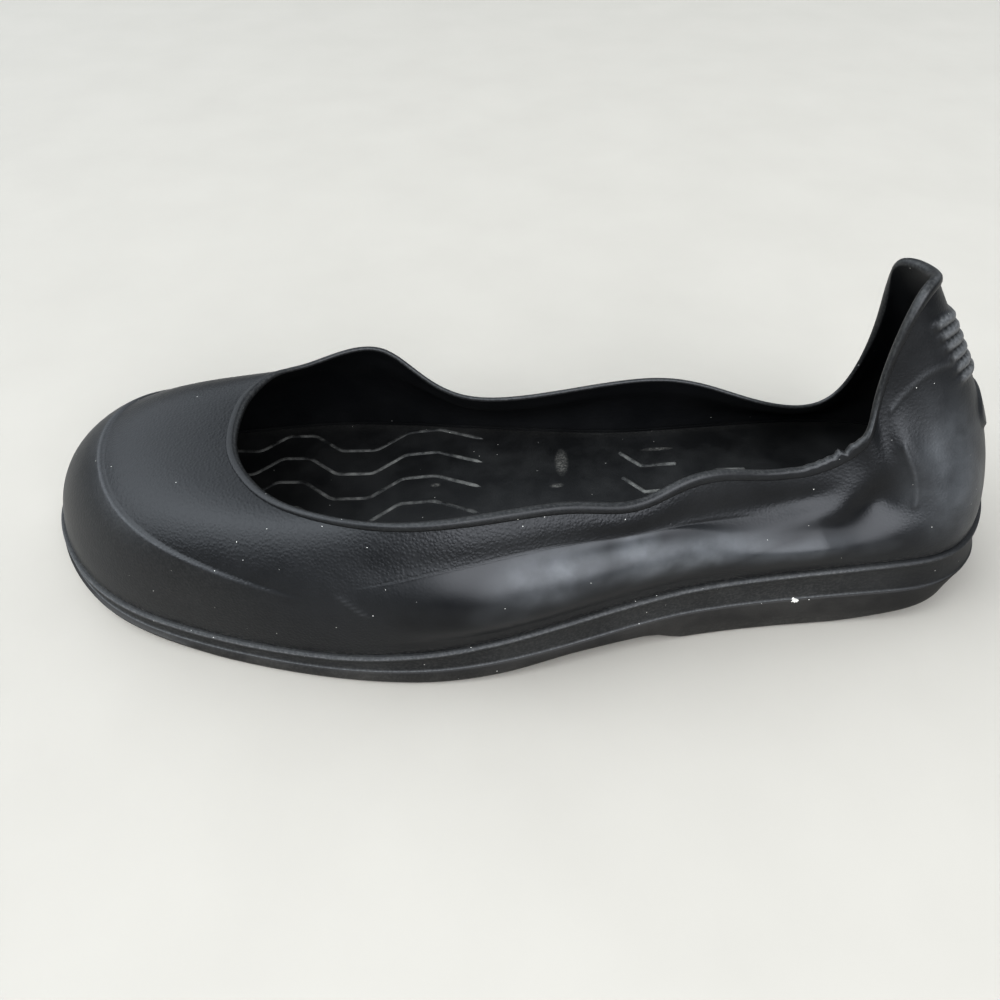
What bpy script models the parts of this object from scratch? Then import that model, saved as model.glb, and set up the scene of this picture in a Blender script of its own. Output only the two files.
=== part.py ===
"""Moulded rubber overshoe for the left foot, empty and standing on its sole.

The toe points to -X, the outer side of the foot to -Y and +Z is up. The shoe is four solids: outsole,
midsole, insole and upper. All of them follow one outline, which runs from the toe along the outer side to
the heel and back along the inner side.
"""

import math

import bmesh
import bpy
import numpy as np

MM = 0.001

# Driving dimensions, in millimetres.
LENGTH = 297.0
BALL_WIDTH = 112.0
HEEL_HEIGHT = 100.0

# Walls, gaps and small steps, in millimetres.
WALL = 2.0
FIT_GAP = 0.3
WELT_STEP = 1.0
TRAY_RIM = 3.3
TRAY_DEPTH = 2.4
BEAD_WIDTH = 3.8
BEAD_HEIGHT = 1.3
BUMPER_HEIGHT = 1.2
RIB_COUNT = 6
RIB_HEIGHT = 1.3
GROOVE_WIDTH = 4.0
GROOVE_DEPTH = 2.4
GROOVE_MARGIN = 9.0
GROOVE_SWAY = 4.0
CUTTER_DROP = 1.0
INSOLE_ROUND = 1.0

# How finely the shapes are sampled.
SAMPLES_PER_SECTION = 4
CURVE_STEPS = 48
GROOVE_POINTS = 5
WELD = 1e-6
SHARP_ANGLE = math.radians(40)

# Sections round the shoe. along is percent of LENGTH from the toe, across is percent of BALL_WIDTH towards
# the inner side and rise is percent of HEEL_HEIGHT. foot is where the wall leaves the welt and rim is the
# collar. belly and shoulder push the wall outwards low down and under the rim, belly_rise and shoulder_drop
# place those pushes; all four are shares of the section's own height. bead is the share of the full collar
# bead. The value of each column is its unit.
SECTION_COLUMNS = {
    "foot_along": LENGTH / 100,
    "foot_across": BALL_WIDTH / 100,
    "rim_along": LENGTH / 100,
    "rim_across": BALL_WIDTH / 100,
    "rim_rise": HEEL_HEIGHT / 100,
    "belly": 1.0,
    "belly_rise": 1.0,
    "shoulder": 1.0,
    "shoulder_drop": 1.0,
    "bead": 1.0,
}
SECTIONS = {
    "toe_tip":            (0.0, 5.0, 22.5, 2.5, 51.5, -0.14, 0.74, 1.00, -0.08, 0.6),
    "toe_outer":          (2.2, -14.0, 23.0, -10.0, 50.5, -0.15, 0.74, 0.96, -0.08, 0.6),
    "toe_outer_corner":   (8.1, -31.0, 25.6, -22.5, 50.0, -0.10, 0.70, 0.80, -0.04, 0.7),
    "ball_outer_front":   (19.2, -43.5, 30.6, -33.0, 50.0, 0.00, 0.60, 0.56, 0.08, 0.9),
    "ball_outer":         (32.6, -51.3, 39.4, -40.0, 51.4, 0.06, 0.50, 0.32, 0.24, 1.0),
    "waist_outer_front":  (47.8, -51.8, 49.5, -38.5, 53.2, 0.09, 0.46, 0.28, 0.32, 1.0),
    "waist_outer":        (65.7, -39.7, 64.3, -29.5, 52.0, 0.10, 0.45, 0.24, 0.34, 0.7),
    "heel_outer_front":   (81.5, -33.5, 77.1, -23.2, 52.0, 0.08, 0.45, 0.20, 0.34, 0.4),
    "notch_outer":        (88.6, -32.0, 83.1, -19.6, 60.0, 0.06, 0.42, 0.20, 0.34, 0.4),
    "tab_outer":          (94.8, -28.4, 84.4, -13.6, 78.0, 0.02, 0.38, 0.18, 0.32, 0.5),
    "tab_outer_corner":   (98.6, -16.5, 86.1, -8.4, 97.6, -0.02, 0.34, 0.19, 0.28, 0.8),
    "heel_back":          (100.0, 0.0, 88.4, 1.8, 98.4, 0.00, 0.33, 0.17, 0.28, 0.8),
    "tab_inner_corner":   (98.3, 14.5, 87.2, 13.0, 94.2, 0.00, 0.34, 0.17, 0.28, 0.8),
    "tab_inner":          (93.6, 26.0, 87.6, 16.5, 73.0, 0.05, 0.38, 0.18, 0.32, 0.5),
    "notch_inner":        (88.2, 30.2, 86.4, 18.8, 46.0, 0.06, 0.42, 0.20, 0.34, 0.4),
    "heel_inner_front":   (81.5, 31.5, 80.5, 17.5, 41.0, 0.08, 0.45, 0.22, 0.34, 0.4),
    "waist_inner":        (65.7, 30.0, 67.0, 23.2, 47.0, 0.10, 0.45, 0.24, 0.34, 0.7),
    "waist_inner_front":  (47.8, 38.4, 46.0, 22.8, 40.3, 0.10, 0.46, 0.30, 0.32, 1.0),
    "ball_inner":         (32.6, 46.5, 36.1, 32.0, 52.5, 0.04, 0.48, 0.26, 0.24, 1.0),
    "ball_inner_front":   (19.2, 43.5, 28.6, 25.0, 52.5, -0.05, 0.57, 0.32, 0.22, 0.9),
    "toe_inner_corner":   (8.4, 35.0, 24.9, 18.0, 53.5, -0.10, 0.63, 0.60, 0.15, 0.7),
    "toe_inner":          (1.9, 21.5, 23.0, 10.0, 52.5, -0.12, 0.69, 0.88, -0.01, 0.6),
}

# Heights of the sole along the shoe, in millimetres over the floor, at percents of LENGTH from the toe.
SOLE_COLUMNS = ("along", "welt", "parting", "tread")
SOLE = {
    "toe_tip":      (0.0, 17.0, 12.5, 9.5),
    "toe_spring":   (7.4, 12.6, 7.2, 4.0),
    "toe_root":     (15.9, 10.6, 4.8, 1.2),
    "ball_front":   (22.5, 10.0, 4.2, 0.0),
    "ball":         (32.6, 10.4, 4.3, 0.0),
    "ball_back":    (41.4, 12.8, 5.2, 0.0),
    "arch_front":   (49.5, 16.4, 6.9, 1.4),
    "arch":         (57.9, 19.5, 8.8, 4.2),
    "arch_back":    (64.6, 21.4, 10.6, 4.0),
    "heel_breast":  (68.7, 22.5, 11.5, 0.0),
    "heel":         (83.1, 24.4, 12.6, 0.0),
    "heel_bevel":   (91.7, 26.4, 13.6, 3.8),
    "heel_back":    (100.0, 30.0, 16.5, 11.5),
}

# How far the sole's sides stand out, or below zero tuck in, at the heel's two back corners, in millimetres at
# each level. The corners lie a number of sections from the heel's back, and the flare fades on either side.
HEEL_FLARE = {"welt": 0.0, "parting": 2.0, "tread": -1.6}
FLARE_AT = 1.2
FLARE_HALF = 0.7

# Lip of the toe bumper, under the toe's top panel: section number, counted from the toe, and share of the
# wall. The lip fades out below the line and drops back to the wall above it, over shares of the wall.
BUMPER_FADE = 0.3
BUMPER_DROP = 0.02
BUMPER_COLUMNS = ("section", "share", "strength")
BUMPER = {
    "inner_end":   (-3.8, 0.42, 0.0),
    "inner_side":  (-2.8, 0.46, 1.0),
    "toe_front":   (0.0, 0.46, 1.0),
    "outer_side":  (2.9, 0.46, 1.0),
    "outer_end":   (3.9, 0.42, 0.0),
}

# Soft troughs and ridges of the slack wall: section number and share of the wall at the middle of each,
# half its length in sections, half its height as a share, and its lift in millimetres.
FOLD_COLUMNS = ("section", "share", "half_length", "half_height", "lift")
FOLDS = {
    "belly_outer":        (5.4, 0.36, 1.1, 0.20, 1.6),
    "collar_hollow":      (5.8, 0.70, 1.3, 0.12, -1.6),
    "heel_dent_front":    (7.2, 0.73, 0.5, 0.12, -1.4),
    "heel_dent":          (7.9, 0.56, 0.4, 0.14, -3.0),
    "heel_dent_low":      (8.3, 0.38, 0.4, 0.12, -1.4),
    "heel_fold":          (8.75, 0.66, 0.25, 0.18, 1.4),
    "heel_swell":         (9.2, 0.30, 0.6, 0.16, 0.5),
    "inner_hollow":       (17.2, 0.72, 0.8, 0.16, -1.5),
}

# How the slack rim waves: section number at the middle of each wave, half its length in sections, and its
# rise and outward lean in millimetres. The wall follows the rim down to a share of its length.
RIM_WAVE_FOOT = 0.55
RIM_WAVE_COLUMNS = ("section", "half_length", "rise", "lean")
RIM_WAVES = {
    "waist_sag":   (5.82, 0.28, -3.8, 2.2),
    "waist_rise":  (6.46, 0.42, 4.8, -0.3),
    "notch_flare": (8.20, 0.30, -0.6, 1.6),
}

# Rings of the upper, as shares of the wall's length below the collar bead, across the bead and down the
# inside. The heel ribs lie between two shares, and fade out on either side of the heel's back.
BODY_SHARES = (0.0, 0.09, 0.19, 0.29, 0.39, 0.475, 0.5, 0.58)
RIBS_FROM = 0.66
RIBS_TO = 0.96
RIB_REACH = 1.25
RIB_FADE = 0.625
BEAD_SHARES = (1.0, 0.75, 0.5, 0.22, 0.0)
INNER_SHARES = (1.0, 0.97, 0.84, 0.70, 0.56, 0.42, 0.28, 0.14, 0.0)

# Sides of the sole's pieces, from the underside to the top: how far each edge lies outside the outline, the
# level that it follows, and its lift over that level.
OUTSOLE_SIDE = {
    "tread":       (-5.0, "tread", 0.0),
    "ground_edge": (0.0, "tread", 0.0),
    "ground_turn": (1.0, "tread", 0.7),
    "flare":       (1.2, "tread", 1.9),
    "shoulder":    (0.4, "parting", -0.6 - FIT_GAP / 2),
    "top":         (-0.5, "parting", -FIT_GAP / 2),
}
MIDSOLE_SIDE = {
    "underside":   (-0.5, "parting", FIT_GAP / 2),
    "lower_edge":  (0.0, "parting", 0.6 + FIT_GAP / 2),
    "band":        (-0.2, "welt", -2.4),
    "lip_under":   (0.6, "welt", -1.5),
    "lip":         (0.6, "welt", -0.7),
    "ledge":       (0.0, "welt", 0.0),
    "tray_edge":   (-TRAY_RIM, "welt", 0.0),
    "tray_floor":  (-TRAY_RIM, "welt", -TRAY_DEPTH),
}
INSOLE_SIDE = {
    "underside":   (-TRAY_RIM - FIT_GAP, "welt", FIT_GAP - TRAY_DEPTH),
    "edge":        (-TRAY_RIM - FIT_GAP, "welt", -0.7),
    "top":         (-TRAY_RIM - FIT_GAP - INSOLE_ROUND, "welt", 0.0),
}

# Grooves between the tread lugs, percent of LENGTH from the toe.
FOREFOOT_GROOVES = (12.0, 16.5, 21.0, 25.5, 30.0, 34.5, 39.0)
HEEL_GROOVES = (72.5, 77.0, 81.5, 86.0, 90.5)


class ClosedSpline:
    """A smooth closed curve through the rows of a table, with one knot for each row."""

    def __init__(self, rows, spacing):
        self.rows = rows
        self.step = spacing
        count = len(rows)
        before = np.roll(spacing, 1)
        matrix = np.zeros((count, count))
        for i in range(count):
            matrix[i, i - 1] += before[i]
            matrix[i, i] += 2 * (before[i] + spacing[i])
            matrix[i, (i + 1) % count] += spacing[i]
        rise = (np.roll(rows, -1, axis=0) - rows) / spacing[:, None]
        self.bend = np.linalg.solve(matrix, 6 * (rise - np.roll(rise, 1, axis=0)))

    def at(self, section):
        """Values at section numbers, which may lie between rows."""
        low = np.floor(section).astype(int)
        share = (section - low)[:, None]
        i = low % len(self.rows)
        j = (i + 1) % len(self.rows)
        left = 1 - share
        span = self.step[i][:, None] ** 2 / 6
        curve = (left**3 - left) * self.bend[i] + (share**3 - share) * self.bend[j]
        return left * self.rows[i] + share * self.rows[j] + span * curve


def smooth_profile(stations, heights):
    """A function that runs through the heights without rising or falling past them."""
    stations = np.asarray(stations, float)
    heights = np.asarray(heights, float)
    step = np.diff(stations)
    rise = np.diff(heights) / step
    both = rise[:-1] * rise[1:]
    slope = np.zeros(len(stations))
    slope[0], slope[-1] = rise[0], rise[-1]
    total = np.where(both > 0, rise[:-1] + rise[1:], 1.0)
    slope[1:-1] = np.where(both > 0, 2 * both / total, 0.0)

    def height_at(place):
        place = np.clip(place, stations[0], stations[-1])
        i = np.clip(np.searchsorted(stations, place) - 1, 0, len(step) - 1)
        t = (place - stations[i]) / step[i]
        start = (1 + 2 * t) * (1 - t) ** 2 * heights[i] + t * (1 - t) ** 2 * step[i] * slope[i]
        end = t**2 * (3 - 2 * t) * heights[i + 1] + t**2 * (t - 1) * step[i] * slope[i + 1]
        return start + end

    return height_at


def smooth_step(value):
    """Rises softly from 0 to 1 as value does."""
    value = np.clip(value, 0.0, 1.0)
    return value * value * (3 - 2 * value)


def column(table, columns, name):
    """One named column of a table."""
    return np.array([row[columns.index(name)] for row in table.values()], float)


class Last:
    """The shape that every piece follows: outline, collar and wall sections, in millimetres."""

    def __init__(self):
        rows = np.array(list(SECTIONS.values()), float) * list(SECTION_COLUMNS.values())
        outline = rows[:, :2]
        spacing = np.linalg.norm(np.roll(outline, -1, axis=0) - outline, axis=1)
        self.spline = ClosedSpline(rows, spacing)
        self.count = SAMPLES_PER_SECTION * len(rows)
        self.section = np.arange(self.count) / SAMPLES_PER_SECTION
        self.values = self.spline.at(self.section)
        from_back = np.abs(self.section - list(SECTIONS).index("heel_back"))
        self.flare = np.exp(-(((from_back - FLARE_AT) / FLARE_HALF) ** 2))
        along = column(SOLE, SOLE_COLUMNS, "along") * LENGTH / 100
        self.level = {
            name: smooth_profile(along, column(SOLE, SOLE_COLUMNS, name)) for name in SOLE_COLUMNS[1:]
        }
        points = self.offset_outline(0.0)
        self.centre = (points.min(axis=0) + points.max(axis=0)) / 2

    def get(self, name):
        """One column of the section table at every sample round the shoe."""
        return self.values[:, list(SECTION_COLUMNS).index(name)]

    def offset_outline(self, distance):
        """The outline in plan, moved outwards by distance."""
        points = self.values[:, :2]
        ahead = np.roll(points, -1, axis=0) - np.roll(points, 1, axis=0)
        outward = np.stack((-ahead[:, 1], ahead[:, 0]), axis=1)
        outward /= -np.linalg.norm(outward, axis=1)[:, None]
        return points + np.reshape(distance, (-1, 1)) * outward

    def loop(self, distance, level, lift):
        """A closed loop at a distance outside the outline, lifted over one of the sole's levels."""
        plan = self.offset_outline(distance + HEEL_FLARE[level] * self.flare)
        return np.column_stack((plan, self.level[level](plan[:, 0]) + lift))

    def wall_curves(self):
        """Points of the wall's curve from foot to rim for each section, and how far along each lies."""
        foot = self.loop(-WELT_STEP, "welt", FIT_GAP)
        rim = np.column_stack((self.get("rim_along"), self.get("rim_across"), self.get("rim_rise")))
        out = foot - rim
        out[:, 2] = 0.0
        out /= np.linalg.norm(out, axis=1)[:, None]
        height = (rim - foot)[:, 2][:, None]
        up = np.array((0.0, 0.0, 1.0))
        push = {name: self.get(name)[:, None] * height for name in SECTION_COLUMNS}
        low = foot + out * push["belly"] + up * push["belly_rise"]
        high = rim + out * push["shoulder"] - up * push["shoulder_drop"]
        t = np.linspace(0, 1, CURVE_STEPS + 1)[None, :, None]
        curve = (
            (1 - t) ** 3 * foot[:, None]
            + 3 * t * (1 - t) ** 2 * low[:, None]
            + 3 * t**2 * (1 - t) * high[:, None]
            + t**3 * rim[:, None]
        )
        pieces = np.linalg.norm(np.diff(curve, axis=1), axis=2)
        travelled = np.concatenate((np.zeros((self.count, 1)), np.cumsum(pieces, axis=1)), axis=1)
        return curve, travelled


def wall_points(curve, travelled, distances):
    """Points on each wall curve at the given distances from its foot, with the wall's outward normals."""
    points = np.empty(distances.shape + (3,))
    for i in range(len(curve)):
        for axis in range(3):
            points[i, :, axis] = np.interp(distances[i], travelled[i], curve[i, :, axis])
    around = np.roll(points, -1, axis=0) - np.roll(points, 1, axis=0)
    rising = np.sign(distances[:, -1:] - distances[:, :1])
    upward = np.gradient(points, axis=1) * rising[:, :, None]
    normal = np.cross(around, upward)
    normal /= np.linalg.norm(normal, axis=2)[:, :, None]
    return points, normal


def fold_lift(last, shares):
    """How far the folds lift the wall, at shares of its length for each section."""
    half = len(SECTIONS) / 2
    lift = np.zeros(shares.shape)
    for row in FOLDS.values():
        fold = dict(zip(FOLD_COLUMNS, row))
        away = (last.section - fold["section"] + half) % len(SECTIONS) - half
        around = (away[:, None] / fold["half_length"]) ** 2
        upward = ((shares - fold["share"]) / fold["half_height"]) ** 2
        lift += fold["lift"] * np.exp(-around - upward)
    return lift


def rim_sway(last, outward, shares):
    """How far the waves of the rim move the wall, at shares of its length, with the rim's outward normals."""
    sway = np.zeros(outward.shape)
    for row in RIM_WAVES.values():
        wave = dict(zip(RIM_WAVE_COLUMNS, row))
        near = np.exp(-(((last.section - wave["section"]) / wave["half_length"]) ** 2))[:, None]
        sway += near * (wave["rise"] * np.array((0.0, 0.0, 1.0)) + wave["lean"] * outward)
    follow = smooth_step((shares - RIM_WAVE_FOOT) / (1 - RIM_WAVE_FOOT))
    return sway[:, None] * follow[:, :, None]


def bumper_step(last, shares):
    """Height of the toe bumper's lip over the wall, at shares of the wall's length."""
    half = len(SECTIONS) / 2
    section = (last.section + half) % len(SECTIONS) - half
    place = column(BUMPER, BUMPER_COLUMNS, "section")
    line = smooth_profile(place, column(BUMPER, BUMPER_COLUMNS, "share"))(section)
    strength = smooth_profile(place, column(BUMPER, BUMPER_COLUMNS, "strength"))(section)
    below = line[:, None] - shares
    lip = 1 - np.where(below >= 0, smooth_step(below / BUMPER_FADE), smooth_step(-below / BUMPER_DROP))
    inside = (section > place[0]) & (section < place[-1])
    return BUMPER_HEIGHT * lip * (strength * inside)[:, None]


def heel_ribs(last, count):
    """Height of the heel ribs on each of count rings, which are troughs and crests in turn."""
    back = list(SECTIONS).index("heel_back")
    window = smooth_step((RIB_REACH - np.abs(last.section - back)) / RIB_FADE)
    crest = np.arange(count) % 2
    return RIB_HEIGHT * window[:, None] * crest[None, :]


def collar_bead(last):
    """Height of the round bead under the rim, on the rings of the bead."""
    across = 2 * np.array(BEAD_SHARES) - 1
    return BEAD_HEIGHT * np.sqrt(1 - across**2)[None, :] * last.get("bead")[:, None]


def upper_loops(last):
    """Loops of the upper's outer face from foot to rim, then of its inner face back down."""
    curve, travelled = last.wall_curves()
    length = travelled[:, -1:]
    rib_rings = np.linspace(RIBS_FROM, RIBS_TO, 2 * RIB_COUNT + 1)
    body = np.concatenate((BODY_SHARES, rib_rings))
    below_bead = (length - BEAD_WIDTH) * body
    across_bead = length - BEAD_WIDTH * np.array(BEAD_SHARES)
    outer_at = np.concatenate((below_bead, across_bead), axis=1)
    inner_at = length * np.array(INNER_SHARES)
    outer, outward = wall_points(curve, travelled, outer_at)
    inner, inward = wall_points(curve, travelled, inner_at)
    relief = bumper_step(last, outer_at / length)
    ribs = slice(len(BODY_SHARES), len(body))
    relief[:, ribs] += heel_ribs(last, len(rib_rings))
    relief[:, len(body):] += collar_bead(last)
    relief += fold_lift(last, outer_at / length)
    outer = outer + relief[:, :, None] * outward
    inner = inner + (fold_lift(last, inner_at / length) - WALL)[:, :, None] * inward
    inner[:, -1, 2] = outer[:, 0, 2]
    outer += rim_sway(last, outward[:, -1], outer_at / length)
    inner += rim_sway(last, outward[:, -1], inner_at / length)
    return np.concatenate((outer, inner), axis=1).transpose(1, 0, 2)


def spine(loop):
    """The line half way between a loop's outer and inner sides, which closes a slab across the foot."""
    return (loop + np.roll(loop[::-1], 1, axis=0)) / 2


def slab_loops(last, side):
    """Loops of a piece of the sole, from the middle of its underside round its side to its top."""
    loops = [last.loop(*edge) for edge in side.values()]
    return np.array([spine(loops[0]), *loops, spine(loops[-1])])


def skin(name, loops, material, last, wrap=False):
    """A closed solid whose surface runs through the loops. wrap joins the last loop to the first."""
    if wrap:
        loops = np.concatenate((loops, loops[:1]))
    loops = np.concatenate((loops, loops[:, :1]), axis=1)
    place = loops - np.array((*last.centre, 0.0))
    bm = bmesh.new()
    bmesh.ops.create_grid(bm, x_segments=loops.shape[1] - 1, y_segments=len(loops) - 1, size=1.0)
    for vert, point in zip(bm.verts, place.reshape(-1, 3)):
        vert.co = point * MM
    bmesh.ops.remove_doubles(bm, verts=bm.verts, dist=WELD)
    bmesh.ops.dissolve_degenerate(bm, edges=bm.edges, dist=WELD)
    bmesh.ops.triangulate(bm, faces=[face for face in bm.faces if len(face.verts) > 3])
    bmesh.ops.recalc_face_normals(bm, faces=bm.faces)
    mesh = bpy.data.meshes.new(name)
    bm.to_mesh(mesh)
    bm.free()
    mesh.shade_smooth()
    mesh.set_sharp_from_angle(angle=SHARP_ANGLE)
    mesh.materials.append(material)
    obj = bpy.data.objects.new(name, mesh)
    bpy.context.scene.collection.objects.link(obj)
    return obj


def groove_line(last, along):
    """Corners of one zigzag groove across the sole, in millimetres."""
    outline = last.offset_outline(-GROOVE_MARGIN)
    half = last.count // 2
    x = along * LENGTH / 100
    outer_y = np.interp(x, outline[: half + 1, 0], outline[: half + 1, 1])
    inner_y = np.interp(-x, -outline[half:, 0], outline[half:, 1])
    across = np.linspace(outer_y, inner_y, GROOVE_POINTS)
    return [(x + GROOVE_SWAY * (-1) ** bend, y) for bend, y in enumerate(across)]


def tread_grooves(last):
    """One cutter with all the grooves between the lugs."""
    bm = bmesh.new()
    for along in (*FOREFOOT_GROOVES, *HEEL_GROOVES):
        line = groove_line(last, along)
        top = last.level["tread"](along * LENGTH / 100) + GROOVE_DEPTH
        edges = []
        for side in (-GROOVE_WIDTH / 2, GROOVE_WIDTH / 2):
            corners = np.array([(x + side - last.centre[0], y - last.centre[1], top) for x, y in line])
            edges.append([bm.verts.new(corner * MM) for corner in corners])
        front, back = edges
        faces = [
            bm.faces.new((front[i], front[i + 1], back[i + 1], back[i])) for i in range(GROOVE_POINTS - 1)
        ]
        grown = bmesh.ops.extrude_face_region(bm, geom=faces, use_keep_orig=True)
        for item in grown["geom"]:
            if isinstance(item, bmesh.types.BMVert):
                item.co.z = -CUTTER_DROP * MM
    bmesh.ops.recalc_face_normals(bm, faces=bm.faces)
    mesh = bpy.data.meshes.new("tread_grooves")
    bm.to_mesh(mesh)
    bm.free()
    cutter = bpy.data.objects.new("tread_grooves", mesh)
    bpy.context.scene.collection.objects.link(cutter)
    cutter.hide_render = True
    cutter.display_type = "WIRE"
    return cutter


def rubber(name, colour, roughness):
    """A plain moulded rubber."""
    material = bpy.data.materials.new(name)
    material.use_nodes = True
    shader = material.node_tree.nodes["Principled BSDF"]
    shader.inputs["Base Color"].default_value = (*colour, 1.0)
    shader.inputs["Roughness"].default_value = roughness
    shader.inputs["Metallic"].default_value = 0.0
    return material


def main():
    """Clear the scene and build the four solids."""
    for obj in list(bpy.data.objects):
        bpy.data.objects.remove(obj)
    last = Last()
    upper_rubber = rubber("upper_rubber", (0.013, 0.014, 0.016), 0.42)
    outsole_rubber = rubber("outsole_rubber", (0.014, 0.013, 0.012), 0.62)
    midsole_rubber = rubber("midsole_rubber", (0.014, 0.014, 0.014), 0.52)
    insole_rubber = rubber("insole_rubber", (0.010, 0.010, 0.011), 0.55)
    outsole = skin("outsole", slab_loops(last, OUTSOLE_SIDE), outsole_rubber, last)
    cut = outsole.modifiers.new("grooves", "BOOLEAN")
    cut.operation = "DIFFERENCE"
    cut.object = tread_grooves(last)
    skin("midsole", slab_loops(last, MIDSOLE_SIDE), midsole_rubber, last)
    skin("insole", slab_loops(last, INSOLE_SIDE), insole_rubber, last)
    skin("upper", upper_loops(last), upper_rubber, last, wrap=True)


main()
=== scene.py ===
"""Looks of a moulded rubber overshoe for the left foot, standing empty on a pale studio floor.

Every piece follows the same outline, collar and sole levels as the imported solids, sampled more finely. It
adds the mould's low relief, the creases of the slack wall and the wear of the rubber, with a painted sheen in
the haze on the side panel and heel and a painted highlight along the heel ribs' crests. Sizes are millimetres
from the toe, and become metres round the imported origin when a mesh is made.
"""

import logging
import math
from dataclasses import dataclass, field
from enum import Enum
from typing import Any, Callable

import bmesh
import bpy
import numpy as np
from mathutils import Matrix, Vector


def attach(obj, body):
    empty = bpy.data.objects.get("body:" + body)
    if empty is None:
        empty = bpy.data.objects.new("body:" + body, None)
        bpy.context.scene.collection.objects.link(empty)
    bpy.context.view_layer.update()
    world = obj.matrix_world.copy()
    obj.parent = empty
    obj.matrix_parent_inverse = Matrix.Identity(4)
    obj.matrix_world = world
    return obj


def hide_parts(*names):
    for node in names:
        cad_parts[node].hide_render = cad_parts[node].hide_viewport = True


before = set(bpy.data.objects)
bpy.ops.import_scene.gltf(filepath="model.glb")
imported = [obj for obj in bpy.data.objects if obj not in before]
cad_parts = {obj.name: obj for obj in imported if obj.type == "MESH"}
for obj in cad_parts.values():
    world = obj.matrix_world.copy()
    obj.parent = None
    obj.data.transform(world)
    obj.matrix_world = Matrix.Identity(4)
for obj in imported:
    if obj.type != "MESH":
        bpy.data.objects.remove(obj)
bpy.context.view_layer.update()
log = logging.getLogger("overshoe")

Array = np.ndarray
Profile = Callable[[Array], Array]
Pair = tuple[float, float]
Tree = bpy.types.NodeTree
Options = dict[Any, Any] | None
UP = np.array((0.0, 0.0, 1.0))
MM = 0.001
WELD = 1e-6
SHARP_ANGLE = math.radians(50)

# Sections round the shoe: along is percent of the length from the toe, across is percent of the ball's width
# towards the inner side and rise is percent of the heel's height. foot is where the wall leaves the welt and
# rim is the collar. belly and shoulder push the wall outwards low down and under the rim, belly_rise and
# shoulder_drop place those pushes; all four are shares of the section's height. bead is the share of the
# collar bead's full size.
SECTION_COLUMNS = (
    "foot_along", "foot_across", "rim_along", "rim_across", "rim_rise",
    "belly", "belly_rise", "shoulder", "shoulder_drop", "bead",
)
SECTIONS = {
    "toe_tip":            (0.0, 5.0, 22.5, 2.5, 51.5, -0.14, 0.74, 1.00, -0.08, 0.6),
    "toe_outer":          (2.2, -14.0, 23.0, -10.0, 50.5, -0.15, 0.74, 0.96, -0.08, 0.6),
    "toe_outer_corner":   (8.1, -31.0, 25.6, -22.5, 50.0, -0.10, 0.70, 0.80, -0.04, 0.7),
    "ball_outer_front":   (19.2, -43.5, 30.6, -33.0, 50.0, 0.00, 0.60, 0.56, 0.08, 0.9),
    "ball_outer":         (32.6, -51.3, 39.4, -40.0, 51.4, 0.06, 0.50, 0.32, 0.24, 1.0),
    "waist_outer_front":  (47.8, -51.8, 49.5, -38.5, 53.2, 0.09, 0.46, 0.28, 0.32, 1.0),
    "waist_outer":        (65.7, -39.7, 64.3, -29.5, 52.0, 0.10, 0.45, 0.24, 0.34, 0.7),
    "heel_outer_front":   (81.5, -33.5, 77.1, -23.2, 52.0, 0.08, 0.45, 0.20, 0.34, 0.4),
    "notch_outer":        (88.6, -32.0, 83.1, -19.6, 60.0, 0.06, 0.42, 0.20, 0.34, 0.4),
    "tab_outer":          (94.8, -28.4, 84.4, -13.6, 78.0, 0.02, 0.38, 0.18, 0.32, 0.5),
    "tab_outer_corner":   (98.6, -16.5, 86.1, -8.4, 97.6, -0.02, 0.34, 0.19, 0.28, 0.8),
    "heel_back":          (100.0, 0.0, 88.4, 1.8, 98.4, 0.00, 0.33, 0.17, 0.28, 0.8),
    "tab_inner_corner":   (98.3, 14.5, 87.2, 13.0, 94.2, 0.00, 0.34, 0.17, 0.28, 0.8),
    "tab_inner":          (93.6, 26.0, 87.6, 16.5, 73.0, 0.05, 0.38, 0.18, 0.32, 0.5),
    "notch_inner":        (88.2, 30.2, 86.4, 18.8, 46.0, 0.06, 0.42, 0.20, 0.34, 0.4),
    "heel_inner_front":   (81.5, 31.5, 80.5, 17.5, 41.0, 0.08, 0.45, 0.22, 0.34, 0.4),
    "waist_inner":        (65.7, 30.0, 67.0, 23.2, 47.0, 0.10, 0.45, 0.24, 0.34, 0.7),
    "waist_inner_front":  (47.8, 38.4, 46.0, 22.8, 40.3, 0.10, 0.46, 0.30, 0.32, 1.0),
    "ball_inner":         (32.6, 46.5, 36.1, 32.0, 52.5, 0.04, 0.48, 0.26, 0.24, 1.0),
    "ball_inner_front":   (19.2, 43.5, 28.6, 25.0, 52.5, -0.05, 0.57, 0.32, 0.22, 0.9),
    "toe_inner_corner":   (8.4, 35.0, 24.9, 18.0, 53.5, -0.10, 0.63, 0.60, 0.15, 0.7),
    "toe_inner":          (1.9, 21.5, 23.0, 10.0, 52.5, -0.12, 0.69, 0.88, -0.01, 0.6),
}
HEEL_BACK = list(SECTIONS).index("heel_back")

# Heights of the sole along the shoe, in millimetres over the floor, at percents of the length from the toe.
SOLE_COLUMNS = ("along", "welt", "parting", "tread")
SOLE = {
    "toe_tip":      (0.0, 17.0, 12.5, 9.5),
    "toe_spring":   (7.4, 12.6, 7.2, 4.0),
    "toe_root":     (15.9, 10.6, 4.8, 1.2),
    "ball_front":   (22.5, 10.0, 4.2, 0.0),
    "ball":         (32.6, 10.4, 4.3, 0.0),
    "ball_back":    (41.4, 12.8, 5.2, 0.0),
    "arch_front":   (49.5, 16.4, 6.9, 1.4),
    "arch":         (57.9, 19.5, 8.8, 4.2),
    "arch_back":    (64.6, 21.4, 10.6, 4.0),
    "heel_breast":  (68.7, 22.5, 11.5, 0.0),
    "heel":         (83.1, 24.4, 12.6, 0.0),
    "heel_bevel":   (91.7, 26.4, 13.6, 3.8),
    "heel_back":    (100.0, 30.0, 16.5, 11.5),
}

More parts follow.
